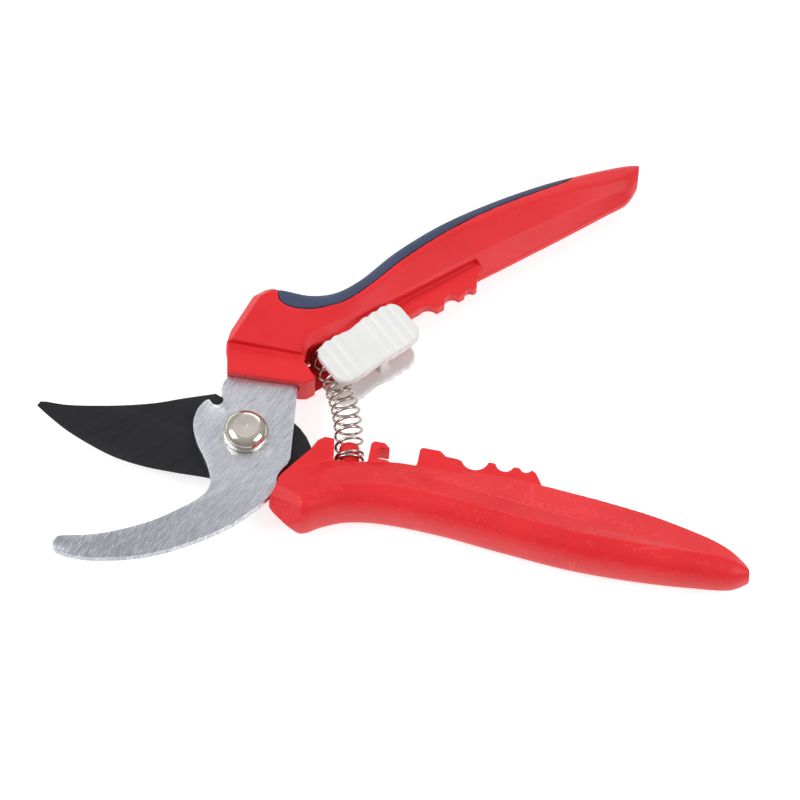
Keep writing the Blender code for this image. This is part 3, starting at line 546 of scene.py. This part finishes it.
# flat facets on the grips' fronts, each a point on it and its outward direction; a sloping one
# comes with its mirror image below
UPPER_FACETS = (((17.7, 32.8, 0.0), (-0.494, 0.870, 0.0)),
                ((17.7, 32.8, 5.0), (-0.375, 0.661, 0.650)),
                ((28.0, 36.65, 0.0), (0.0, 1.0, 0.0)), ((28.0, 36.65, 5.0), (0.0, 0.79, 0.61)))
LOWER_FACETS = (((12.1, -21.85, 0.0), (-0.509, -0.715, 0.481)),
                ((14.7, -18.0, 6.0), (-0.486, -0.338, 0.804)))


def counter_outline(steps=10):
    """Plan of the hooked blade: heel, tip, throat, wire notch, tang and neck in turn."""
    heel_edge = [(-8.9, -21.9), (-20.0, -22.9)]
    convex = spline(heel_edge + list(past(HOOK_START, -COUNTER_REACH, (
        (0.30, -21.4), (0.57, -17.9), (0.81, -12.2), (0.94, -7.5), (0.998, -4.2)))), steps)
    tip = past(HOOK_START, -COUNTER_REACH, ((1.0, -2.6), (0.978, -1.3), (0.94, -0.6)))
    bay = [(-22.0, -10.9), (-18.2, -9.6), (-16.1, -7.0), (-14.5, -1.5), (-13.6, 4.6),
           (-11.6, 10.2), (-8.4, 13.6), (-5.4, 15.1)]
    concave = spline(list(past(HOOK_START, -COUNTER_REACH, (
        (0.918, -1.0), (0.69, -6.4), (0.40, -10.1), (0.157, -11.0)))) + bay, steps)
    hump = [(-4.1, 15.3), (-3.3, 14.9)]
    notch = arc((-1.4, 13.9), 1.9, 190, 330, 14)
    shoulder = [(0.6, 14.4), (1.4, 16.1), (3.2, 17.7), (5.8, 19.0)]
    tang = [(13.0, 24.4), (22.0, 25.4), (41.0, 19.0), (41.0, 14.4), (27.6, 17.6), (20.8, 5.6)]
    neck = [(10.9, -7.8), (6.6, -13.6)]
    heel = spline([(4.9, -14.6), (2.3, -15.5), (0.4, -16.6), (-1.4, -18.9), (-4.4, -20.8)], steps)
    return convex + list(tip) + concave + hump + notch + shoulder + tang + neck + heel


def blade_edge(steps=10):
    """The ground side of the cutting blade, from its heel towards its tip."""
    heel = [(-2.0, -15.2), (-9.0, -15.0), (-17.9, -15.3)]
    return spline(heel + list(past(HOOK_START, -BLADE_REACH, (
        (0.166, -15.2), (0.38, -14.0), (0.58, -11.4), (0.76, -8.3), (0.91, -4.8)))), steps)


def blade_outline(steps=10):
    """Plan of the cutting blade: tip, back, pivot boss, throat, tang and edge in turn."""
    tip = past(HOOK_START, -BLADE_REACH, ((1.0, -2.4), (0.985, -1.0)))
    back = spline(list(past(HOOK_START, -BLADE_REACH, (
        (0.95, -0.7), (0.77, -0.3), (0.47, 2.2), (0.21, 5.3), (0.005, 8.8)))) + [(-11.6, 12.2)],
        steps)
    boss = arc((0.0, 0.0), 14.0, 128, 38, 30)
    throat = [(14.6, 6.2), (17.0, 3.8), (19.4, 0.2)]
    tang = [(23.0, -6.6), (30.0, -8.8), (46.0, -8.8), (46.0, -13.4), (20.0, -14.4), (8.0, -14.2)]
    return list(tip) + back + boss + throat + tang + blade_edge(steps)


# ---------------------------------------------------------------- grips

def grip_section(outer, inner, crease, heights, roundness, steps=16):
    """One ring of a grip: rounded back, flattened flank, then a bevel to the inner edge."""
    outer, inner = Vector(outer), Vector(inner)
    width = (inner - outer).length
    top, crease_height, edge = heights
    rounding = min(CROWN_ROUND * roundness, 0.55 * width)
    half = []
    for i in range(steps + 1):
        a = math.pi / 2 * i / steps
        half.append((rounding * (1 - math.cos(a) ** 0.8), top * math.sin(a) ** 0.8))
    half += flank(half[-1], (width * crease, crease_height), 5)
    half += flank(half[-1], (width, edge), 5)
    flat = [(d, h) for d, h in half if h > 1e-6]
    profile = [(0.0, 0.0)] + flat + [(d, -h) for d, h in reversed(flat)]
    across = (inner - outer).normalized()
    return [(*(outer + across * d), h) for d, h in profile]


def flank(start, end, steps):
    """Points along a straight line, without its start."""
    (x, y), (to_x, to_y) = start, end
    return [(x + (to_x - x) * i / steps, y + (to_y - y) * i / steps) for i in range(1, steps + 1)]


def grip(name, back, inner_edge, sizes, steps=10):
    """A grip lofted through stations, each a back point, an inner point and section sizes."""
    rows = [Vector((*outer, *inner, *size)) for outer, inner, size in zip(back, inner_edge, sizes)]
    rings = [grip_section(r[0:2], r[2:4], r[4], [CROWN_HALF * share for share in r[5:8]], r[8])
             for r in catmull([rows[0]] + rows + [rows[-1]], steps)]
    return ringed_solid(name, rings)


def sliced(obj, facets):
    """The closed solid with flats sliced off, a sloping one on both faces."""
    bm = bmesh.new()
    bm.from_mesh(obj.data)
    for (x, y, z), (dx, dy, dz) in facets:
        for side in ((1, -1) if dz else (1,)):
            found = bmesh.ops.bisect_plane(
                bm, geom=bm.verts[:] + bm.edges[:] + bm.faces[:], plane_co=(x, y, side * z),
                plane_no=(dx, dy, side * dz), clear_outer=True)
            rim = [cut_edge for cut_edge in found["geom_cut"]
                   if isinstance(cut_edge, bmesh.types.BMEdge)]
            bmesh.ops.holes_fill(bm, edges=rim, sides=0)
    bmesh.ops.triangulate(bm, faces=bm.faces)
    bmesh.ops.recalc_face_normals(bm, faces=bm.faces)
    bm.to_mesh(obj.data)
    bm.free()
    return obj


def grown_plate(name, outline, bottom, top, play=GAP):
    """A cutter for the slot that a plate sits in."""
    loop = [Vector(p[:2]) for p in outline]
    grown = []
    for i, point in enumerate(loop):
        along = (loop[(i + 1) % len(loop)] - loop[i - 1]).normalized()
        grown.append(point + play * Vector((-along.y, along.x)))
    return prism(name, grown, bottom - play, top + play)


def side_box(name, outline, near, far, side):
    """A prism between two heights above the shear plane, or the same below it."""
    return prism(name, outline, *sorted((side * near, side * far)))


def lock_path():
    """Plan outline that one of the lock's plates sweeps beside the rail."""
    back = -LOCK_LENGTH / 2 - LOCK_TRAVEL - GAP
    front = LOCK_LENGTH / 2 + GAP
    half = LOCK_WIDTH / 2 + GAP
    return [on_lock(c) for c in ((back, -half), (front, -half), (front, half), (back, half))]


def insert_line():
    """Plan line where the soft insert meets the hard grip."""
    front = [(34.0, 35.6), (31.2, 33.2), (29.9, 31.0), (30.1, 28.6), (32.2, 25.7), (35.8, 23.1),
             (40.2, 21.2), (46.2, 20.0), (55.0, 20.9), (68.0, 23.3), (84.0, 24.7)]
    rear = ((0.19, 24.5), (0.43, 23.0), (0.60, 21.9), (0.675, 23.2))
    return front + list(past(WEB_END, HANDLE_REACH, rear))


def insert_band(name, shift):
    """Everything on the insert's side of its plan line, which is first moved sideways."""
    line = offset_line([Vector(p[:2]) for p in spline(insert_line(), 10)], shift)
    outline = line + [line[-1] + Vector((0, 10.0)), Vector((WEB_END, 40.0)), Vector((36.0, 42.0))]
    return prism(name, outline, -CROWN_HALF - OVER, CROWN_HALF + OVER)


def upper_grip():
    handle = sliced(grip("upper_grip", UPPER_BACK, UPPER_INNER, UPPER_SIZES), UPPER_FACETS)
    bottom = TEETH_LINE + TEETH_CLEARANCE
    first = UPPER_SCALLOPS[0][0]
    mouth = [(5.0, 18.9), (21.2, 4.9), (22.9, 3.85), (NOSE_END, 3.85), (NOSE_END, 10.4),
             (28.6, 13.4), (31.0, 20.0), (19.0, 29.5), (10.4, 27.8)]
    rail = [(RAIL_START, bottom + 0.8), (RAIL_START + 0.8, bottom), (RAIL_END - 0.8, bottom),
            (RAIL_END, bottom + 1.2), (RAIL_END, 17.0), (31.0, 18.0), (33.0, 13.4),
            (RAIL_START, 13.4)]
    web = [(54.0, 9.3), (first, 9.3), (first, bottom), (83.4, bottom), (85.6, 10.6),
           (UPPER_WEB_END, 12.0), (UPPER_WEB_END, 16.5), (54.0, 16.5)]
    recess = [(46.0, 2.0), (UPPER_WEB_END, 2.0), (UPPER_WEB_END, 14.3), (46.0, 14.3)]
    steps = []
    for side in (1, -1):
        steps.append(("DIFFERENCE", side_box(f"recess{side}", recess, WEB_HALF,
                                             CROWN_HALF + OVER, side)))
        steps.append(("DIFFERENCE", side_box(f"path{side}", lock_path(), LOCK_INSIDE - GAP,
                                             CROWN_HALF + OVER, side)))
    for name, outline, half in (("mouth", mouth, LIP_HALF), ("rail", rail, RAIL_HALF),
                                ("web", web, WEB_HALF)):
        steps.append(("UNION", prism(name, outline, -half, half)))
    pocket_floor = [(NOSE_END - 1.0, 4.7), (NOSE_END + 7.2, 4.7), (RAIL_START - 1.2, 8.4),
                    (RAIL_START + 0.6, 9.4), (RAIL_START + 0.6, 15.0), (NOSE_END - 1.0, 12.0)]
    steps += [("DIFFERENCE", spring_pocket()),
              ("UNION", prism("pocket_floor", pocket_floor, -RAIL_HALF,
                              -SPRING_DIAMETER / 2 - FLOOR_PLAY)),
              ("UNION", peg(UPPER_SEAT, UPPER_SEAT_ANGLE + 180, UPPER_PEG)),
              ("DIFFERENCE", guide_slot())]
    steps += scallops(UPPER_SCALLOPS, WEB_HALF)
    steps += [("DIFFERENCE", grown_plate("slot", counter_outline(4), COUNTER_BOTTOM,
                                         COUNTER_TOP)),
              ("DIFFERENCE", insert_band("seat", SEAM_HARD))]
    handle = wear(moulded(cut(handle, steps)), "grip")
    return finish_piece(handle, "upper_half", "upper_handle")


def scallops(spots, half):
    """Cuts the gaps between the teeth out of a web of the given half thickness."""
    return [("DIFFERENCE", cylinder("scallop", diameter, -half - OVER, half + OVER,
                                    (x, TEETH_LINE))) for x, diameter in spots]


def guide_slot():
    """The slot in the rail that the lock's guide slides in."""
    length, width = LOCK_GUIDE
    near = LOCK_GUIDE_AT[0] - LOCK_TRAVEL - length / 2 - GAP
    far = LOCK_GUIDE_AT[0] + length / 2 + GAP
    outline = rounded_box(far - near, width + 2 * GAP, 0.5, 4,
                          ((near + far) / 2, LOCK_GUIDE_AT[1]))
    return prism("guide_slot", [on_lock(p) for p in outline], -RAIL_HALF - OVER,
                 RAIL_HALF + OVER)


def spring_pocket():
    """The room in the upper grip that the spring's end stands in, open below."""
    seat = Vector(UPPER_SEAT)
    along = heading(UPPER_SEAT_ANGLE)
    across = Vector((along.y, -along.x))
    half = SPRING_DIAMETER / 2 + POCKET_PLAY
    wall_x = NOSE_END + GAP
    outline = [seat + across * half, seat - across * half, Vector((wall_x, 10.6)),
               Vector((wall_x, 0.0)), seat + across * half - along * 14.0]
    return prism("pocket", outline, -CROWN_HALF - OVER, SPRING_DIAMETER / 2 + 1.2)


def upper_insert():
    insert = grip("upper_insert", UPPER_BACK, UPPER_INNER, UPPER_SIZES)
    insert = cut(insert, [("INTERSECT", insert_band("shape", SEAM_SOFT))])
    insert = wear(moulded(insert, 4), "insert")
    return finish_piece(insert, "upper_half", "upper_grip_insert")


def lower_grip():
    handle = sliced(grip("lower_grip", LOWER_BACK, LOWER_INNER, LOWER_SIZES), LOWER_FACETS)
    top = TEETH_LINE - TEETH_CLEARANCE
    flange = [(12.4, -11.4), (19.2, -1.4), (20.6, 1.8), (22.4, 3.4), (FLANGE_END - 1.0, 3.4),
              (FLANGE_END, -2.6), (FLANGE_END, -9.0), (13.2, -14.0)]
    catch = [(CATCH_START + 0.2, -4.0), (CATCH_START, 4.0), (CATCH_START + 0.8, 4.9),
             (CATCH_END - 2.2, 5.1), (CATCH_END - 0.2, 3.4), (CATCH_END, -4.0)]
    block = [(BLOCK_FRONT, -3.0), (BLOCK_FRONT, top - 0.7), (BLOCK_FRONT + 0.7, top - 0.1),
             (55.6, top), (57.2, 4.7), (59.0, 3.3), (61.4, 2.3), (64.0, 1.9), (64.0, -3.0)]
    web = [(55.0, -3.0), (55.0, 5.2), (60.6, 5.0), (66.0, 4.0), (66.0, top), (82.6, top),
           (83.8, 5.2), (86.8, 0.6), (86.8, -3.0)]
    steps = []
    for name, outline, half in (("flange", flange, FLANGE_HALF), ("catch", catch, FLANGE_HALF),
                                ("block", block, FLANGE_HALF + 0.1), ("web", web, WEB_HALF)):
        steps.append(("UNION", prism(name, outline, -half, half)))
    steps += [("UNION", peg(LOWER_SEAT, LOWER_SEAT_ANGLE, LOWER_PEG)),
              ("DIFFERENCE", catch_notch())]
    steps += scallops(LOWER_SCALLOPS, FLANGE_HALF)
    at_rest = [turned(p, OPEN_ANGLE) for p in counter_outline(4)]
    steps += [("DIFFERENCE", grown_plate("slot", blade_outline(4), BLADE_BOTTOM, BLADE_TOP)),
              ("DIFFERENCE", grown_plate("stop", at_rest, COUNTER_BOTTOM, CROWN_HALF + OVER))]
    handle = wear(moulded(cut(handle, steps)), "grip")
    return finish_piece(handle, "lower_half", "lower_handle", -OPEN_ANGLE)


def catch_notch():
    """The notch behind the catch that takes the lock's bar when the tool is shut."""
    slide = turned((LOCK_TRAVEL, 0), LOCK_ANGLE)
    half = LOCK_BAR[1] / 2 + BAR_PLAY
    start = on_lock(LOCK_BAR_AT) - slide - Vector((LOCK_BAR[0] / 2 + BAR_PLAY, 0))
    rise = math.tan(math.radians(LOCK_ANGLE)) * (BLOCK_FRONT - start.x)
    outline = [start + Vector((0, -half)), Vector((BLOCK_FRONT, start.y - half)),
               Vector((BLOCK_FRONT, start.y + half + rise)), start + Vector((0, half))]
    return prism("notch", outline, -CROWN_HALF - OVER, CROWN_HALF + OVER)


# ---------------------------------------------------------------- lock

RIBS = (-11.5, -8.4, -5.3, 2.0, 5.15, 8.3, 11.4)    # grooves across the lock, along its length
THUMB = (-5.3, 2.0)                                 # the smooth hollow between the ribs
GROOVE_CUT, THUMB_CUT = 0.48, 0.95                  # how deep they lie in the plates' faces
SIDE_GROOVE_CUT, SIDE_THUMB_CUT = 0.20, 0.45        # and in the plates' long edges


def rib_depth(x, spread):
    """How deep the grooves cut at a place along the lock, from 0 to 1."""
    return max(math.exp(-((x - groove) / spread) ** 2) for groove in RIBS)


def hollow(x):
    """The thumb hollow's depth along the lock, from 0 to 1."""
    share = (x - THUMB[0]) / (THUMB[1] - THUMB[0])
    return math.sin(math.pi * share) if 0 < share < 1 else 0.0


def lock_plate_outline(shrink=0.0):
    """Rounded plate whose long edges step in at every groove."""
    outline = rounded_box(LOCK_LENGTH - 2 * shrink, LOCK_WIDTH - 2 * shrink, LOCK_CORNER, 16)
    middle, fade = 1.5, 3.0
    dense = []
    for p, q in zip(outline, outline[1:] + outline[:1]):
        count = max(1, round((q - p).length / 0.3))
        dense += [p + (q - p) * i / count for i in range(count)]
    for p in dense:
        inward = SIDE_GROOVE_CUT * rib_depth(p.x, 0.95) + SIDE_THUMB_CUT * hollow(p.x)
        if abs(p.y) > middle:
            p.y -= math.copysign(inward * min(1.0, (abs(p.y) - middle) / fade), p.y)
    return dense


def lock():
    """Two ribbed plates joined through the rail by a guide and a locking bar."""
    top = LOCK_INSIDE + LOCK_PLATE
    piece = chamfered(prism("lock", lock_plate_outline(), LOCK_INSIDE, top), 0.7, 3)
    back = chamfered(prism("back", lock_plate_outline(0.5), -top, -LOCK_INSIDE), 0.7, 3)
    bar = ringed_solid("bar", [
        [(x, y, z) for x, y in rounded_box(LOCK_BAR[0] + grow, LOCK_BAR[1], 0.4, 3, LOCK_BAR_AT)]
        for z, grow in ((-top + 1, 0.0), (LOCK_INSIDE - 2.0, 0.0), (LOCK_INSIDE + 1, 2.4))])
    guide = prism("guide", rounded_box(*LOCK_GUIDE, 0.3, 3, LOCK_GUIDE_AT), -top + 1, top - 1)
    piece = cut(piece, [("UNION", back), ("UNION", bar), ("UNION", guide)])
    piece = wear(moulded(piece, 4, LOCK_VOXEL), "lock")
    for vertex in piece.data.vertices:
        x, y, z = vertex.co
        if abs(z) > LOCK_INSIDE + 1.2:
            depth = GROOVE_CUT * rib_depth(x, 0.80) + THUMB_CUT * hollow(x)
            rim = min(1.0, max(0.0, (LOCK_LENGTH / 2 - 0.4 - abs(x)) / 1.5))
            vertex.co.z -= math.copysign(depth * rim, z)
    spin = Matrix.Rotation(math.radians(LOCK_ANGLE), 4, "Z")
    piece.data.transform(Matrix.Translation((*LOCK_CENTRE, 0)) @ spin)
    return finish_piece(piece, "lock", "lock_latch", sharp=60.0)


# ---------------------------------------------------------------- blades and pivot

def shank_hole(bottom, top):
    return ("DIFFERENCE", cylinder("hole", SHANK_DIAMETER + 2 * GAP, bottom, top))


def counter_plate():
    plate = prism("counter_plate", counter_outline(), COUNTER_BOTTOM, COUNTER_TOP)
    plate = cut(plate, [shank_hole(-OVER, 2 * OVER)])
    plate = wear(chamfered(plate, 0.16), "steel")
    return finish_piece(plate, "upper_half", "counter_blade")


def cutting_plate():
    """The edge is ground on the outer side, so the bevel rises from the bottom face."""
    plate = prism("cutting_plate", blade_outline(), BLADE_BOTTOM, BLADE_TOP)
    edge = [Vector(p[:2]) for p in blade_edge()]
    edge += [Vector(p) for p in past(HOOK_START, -BLADE_REACH, ((1.0, -2.4), (1.04, -0.6)))]
    slope_end = BLADE_TOP - BEVEL_LAND
    rise = slope_end + (slope_end - BLADE_BOTTOM) * OVER / BEVEL_WIDTH
    rings = []
    for near, far in zip(offset_line(edge, -BEVEL_WIDTH), offset_line(edge, OVER)):
        rings.append([(near.x, near.y, BLADE_BOTTOM), (far.x, far.y, rise),
                      (far.x, far.y, BLADE_BOTTOM - OVER), (near.x, near.y, BLADE_BOTTOM - OVER)])
    plate = cut(plate, [shank_hole(-2 * OVER, OVER), ("DIFFERENCE", ringed_solid("grind", rings))])
    plate = wear(chamfered(plate, 0.10), "coating")
    return finish_piece(plate, "lower_half", "cutting_blade", -OPEN_ANGLE)


def bolt():
    """Turned in one: the threaded shank, the head's rim and dome, and its sunk matt disc."""
    radius, flat = HEAD_DIAMETER / 2, HEAD_FLAT / 2
    top = HEAD_BASE + HEAD_HEIGHT
    shank = SHANK_DIAMETER / 2
    end = NUT_BOTTOM + 0.2
    profile = [(0, end), (shank - 0.7, end), (shank - 0.2, end + 0.5)]
    profile += thread_profile(end + 0.6, NUT_TOP + 0.4, shank)
    profile += [(shank, NUT_TOP + 0.6), (shank, HEAD_BASE), (radius - 0.25, HEAD_BASE),
                (radius, HEAD_BASE + 0.2), (radius, HEAD_BASE + HEAD_RIM - 0.15)]
    last = math.radians(DOME_END)
    steps = 24
    for i in range(steps + 1):
        a = last * i / steps
        spread = (math.cos(a) - math.cos(last)) / (1 - math.cos(last))
        profile.append((flat + 0.10 + (radius - flat - 0.15) * spread,
                        HEAD_BASE + HEAD_RIM + (HEAD_HEIGHT - HEAD_RIM) * math.sin(a)
                        / math.sin(last)))
    profile += [(flat + 0.02, top - 0.01), (flat - 0.20, top - 0.07), (flat - 0.40, top - 0.09),
                (0.62, top - 0.09), (0.50, top - 0.12), (0.30, top - 0.22), (0, top - 0.26)]
    head = turned_solid("bolt", profile, 128)
    wear(head, "nickel", "disc")
    for face in head.data.polygons:
        centre = face.center
        if centre.z > top - 0.5 and centre.xy.length < flat - 0.05:
            face.material_index = 1
    return finish_piece(head, "upper_half", "pivot_bolt")


def thread_profile(start, end, radius):
    """Turned rings that read as the thread's crests and roots."""
    root = radius - THREAD_DEPTH
    out = []
    for i in range(int((end - start) / THREAD_PITCH)):
        z = start + i * THREAD_PITCH
        out += [(root, z), (radius, z + 0.42 * THREAD_PITCH), (radius, z + 0.58 * THREAD_PITCH)]
    return out + [(root, end)]


def washer():
    inner, outer = SHANK_DIAMETER / 2 + GAP, WASHER_DIAMETER / 2
    low, high = WASHER_BOTTOM + WASHER_EDGE, WASHER_TOP - WASHER_EDGE
    near, far = inner + WASHER_EDGE, outer - WASHER_EDGE
    outline = [(inner, low), (near, WASHER_BOTTOM), (far, WASHER_BOTTOM), (outer, low),
               (outer, high), (far, WASHER_TOP), (near, WASHER_TOP), (inner, high)]
    ring = wear(turned_solid("washer", outline, 96, closed=True), "zinc")
    return finish_piece(ring, "upper_half", "pivot_washer")


def nut():
    """Hexagon with its corners turned off at both ends."""
    corner = NUT_FLATS / 2 / math.cos(math.pi / 6)
    wide, narrow, slope = corner + 0.3, NUT_FLATS / 2 - 0.1, 0.75
    bottom, top = NUT_BOTTOM - 0.01, NUT_TOP + 0.01
    cone = turned_solid("cone", [(0, bottom), (narrow, bottom), (wide, NUT_BOTTOM + slope),
                                 (wide, NUT_TOP - slope), (narrow, top), (0, top)], 96)
    body = prism("nut", arc((0, 0), corner, 0, 300, 5), NUT_BOTTOM, NUT_TOP)
    body = cut(body, [("INTERSECT", cone), shank_hole(NUT_BOTTOM - OVER, NUT_TOP + OVER)])
    body = wear(chamfered(body, 0.12, 2, 30.0), "zinc")
    return finish_piece(body, "upper_half", "pivot_nut", sharp=25.0)


# ---------------------------------------------------------------- spring

def spring_axis(t, start, start_way, end, end_way):
    """A point and the direction on the coil's bowed centre line."""
    a, d = start, end
    b = a + start_way * SPRING_REACH
    c = d - end_way * SPRING_REACH
    s = 1 - t
    point = a * s ** 3 + b * 3 * s * s * t + c * 3 * s * t * t + d * t ** 3
    way = (b - a) * s * s + (c - b) * 2 * s * t + (d - c) * t * t
    return point, way.normalized()


def coil_spacing(t):
    """How far along its axis the coil is at a share of its turns: close at both ends."""
    closed = 1.2 / SPRING_TURNS
    tight = closed * 0.25
    if t < closed:
        return t * tight / closed
    if t > 1 - closed:
        return 1 - (1 - t) * tight / closed
    return tight + (t - closed) * (1 - 2 * tight) / (1 - 2 * closed)


def wire_rings(path, radius, sides):
    """Rings of points square to the path, for a wire along it."""
    rings = []
    last = len(path) - 1
    for i, point in enumerate(path):
        way = (path[min(i + 1, last)] - path[max(i - 1, 0)]).normalized()
        side = way.cross(Vector((0, 0, 1)))
        if side.length < 0.2:
            side = way.cross(Vector((0, 1, 0)))
        side.normalize()
        rise = side.cross(way)
        rings.append([point + side * radius * math.cos(2 * math.pi * k / sides)
                      + rise * radius * math.sin(2 * math.pi * k / sides) for k in range(sides)])
    return rings


def spring():
    start_way = heading(LOWER_SEAT_ANGLE - OPEN_ANGLE)
    end_way = heading(UPPER_SEAT_ANGLE)
    margin = SPRING_WIRE / 2 + GAP
    start = turned(LOWER_SEAT, -OPEN_ANGLE) + start_way * margin
    end = Vector(UPPER_SEAT) - end_way * margin
    radius = (SPRING_DIAMETER - SPRING_WIRE) / 2
    per_turn = 40
    total = round(SPRING_TURNS * per_turn)
    path = []
    for i in range(total + 1):
        centre, way = spring_axis(coil_spacing(i / total), start, start_way, end, end_way)
        across = Vector((-way.y, way.x))
        a = 2 * math.pi * i / per_turn
        spot = centre + across * radius * math.cos(a)
        path.append(Vector((spot.x, spot.y, radius * math.sin(a))))
    coil = ringed_solid("coil_spring", wire_rings(path, SPRING_WIRE / 2, 12), False)
    to_row(wear(coil, "wire"))
    coil.data.shade_smooth()
    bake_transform(coil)
    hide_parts("return_spring")
    return coil


# ---------------------------------------------------------------- stage

WHITE = (1.0, 1.0, 1.0, 1.0)
FLOOR_HALF = 3.0


def floor():
    """White paper under the tool, which glows so that it meets the background."""
    bm = bmesh.new()
    bm.faces.new([bm.verts.new((sx * FLOOR_HALF, sy * FLOOR_HALF, CAD_BOX[0][2]))
                  for sx, sy in ((-1, -1), (1, -1), (1, 1), (-1, 1))])
    ground = add_object("floor", bm)
    look = Look("floor_paper")
    cloud = look.noise(3.0, 2.0)
    colour = look.blend(cloud, (0.46, 0.46, 0.46), (0.48, 0.48, 0.48))
    ground.data.materials.append(look.set(Base_Color=colour, Roughness=0.9,
                                          Emission_Color=WHITE, Emission_Strength=0.75))


def softbox(name, place, size, power, target=(0.03, 0.0, 0.0)):
    """A rectangular lamp that faces the target."""
    lamp = bpy.data.lights.new(name, "AREA")
    lamp.shape = "RECTANGLE"
    lamp.size, lamp.size_y = size
    lamp.energy = power
    obj = linked(name, lamp)
    obj.location = place
    obj.rotation_euler = (Vector(target) - Vector(place)).to_track_quat("-Z", "Y").to_euler()


def studio():
    """A white world, brighter towards one side, with three lamps."""
    world = bpy.data.worlds.new("studio")
    bpy.context.scene.world = world
    world.use_nodes = True
    tree = world.node_tree
    background = tree.nodes["Background"]
    background.inputs["Color"].default_value = WHITE
    direction = tree.nodes.new("ShaderNodeTexCoord").outputs["Generated"]
    facing = tree.nodes.new("ShaderNodeVectorMath")
    facing.operation = "DOT_PRODUCT"
    facing.inputs[1].default_value = Vector((0.15, 0.45, 0.88)).normalized()
    tree.links.new(direction, facing.inputs[0])
    glow = tree.nodes.new("ShaderNodeMapRange")
    set_range(glow, 0.0, 0.95, 0.32, 0.60)
    tree.links.new(facing.outputs["Value"], glow.inputs["Value"])
    tree.links.new(glow.outputs[0], background.inputs["Strength"])
    softbox("key", (-0.75, 0.40, 0.85), (0.6, 0.6), 7.5)
    softbox("fill", (0.55, -0.75, 0.70), (0.6, 0.5), 4.6)
    softbox("far", (0.80, 0.75, 0.65), (0.8, 0.6), 2.4)
    bpy.context.scene.view_settings.view_transform = "Standard"


def camera():
    """The camera, from its place and its right, up and forward axes in the row frame."""
    place = Vector((-0.270676, -0.451030, 0.967157))
    right = Vector((0.84570741, -0.5325742, 0.03381861))
    up = Vector((0.45248531, 0.74923987, 0.48362865))
    forward = Vector((0.28290639, 0.39370591, -0.87461971))
    lens = bpy.data.cameras.new("camera")
    lens.lens = 173.25
    lens.sensor_width = 36.0
    view = linked("camera", lens)
    view.matrix_world = Matrix((
        (right.x, up.x, -forward.x, place.x), (right.y, up.y, -forward.y, place.y),
        (right.z, up.z, -forward.z, place.z), (0, 0, 0, 1)))
    bpy.context.scene.camera = view


camera()
studio()
floor()
upper_grip()
upper_insert()
lower_grip()
lock()
counter_plate()
cutting_plate()
bolt()
washer()
nut()
spring()
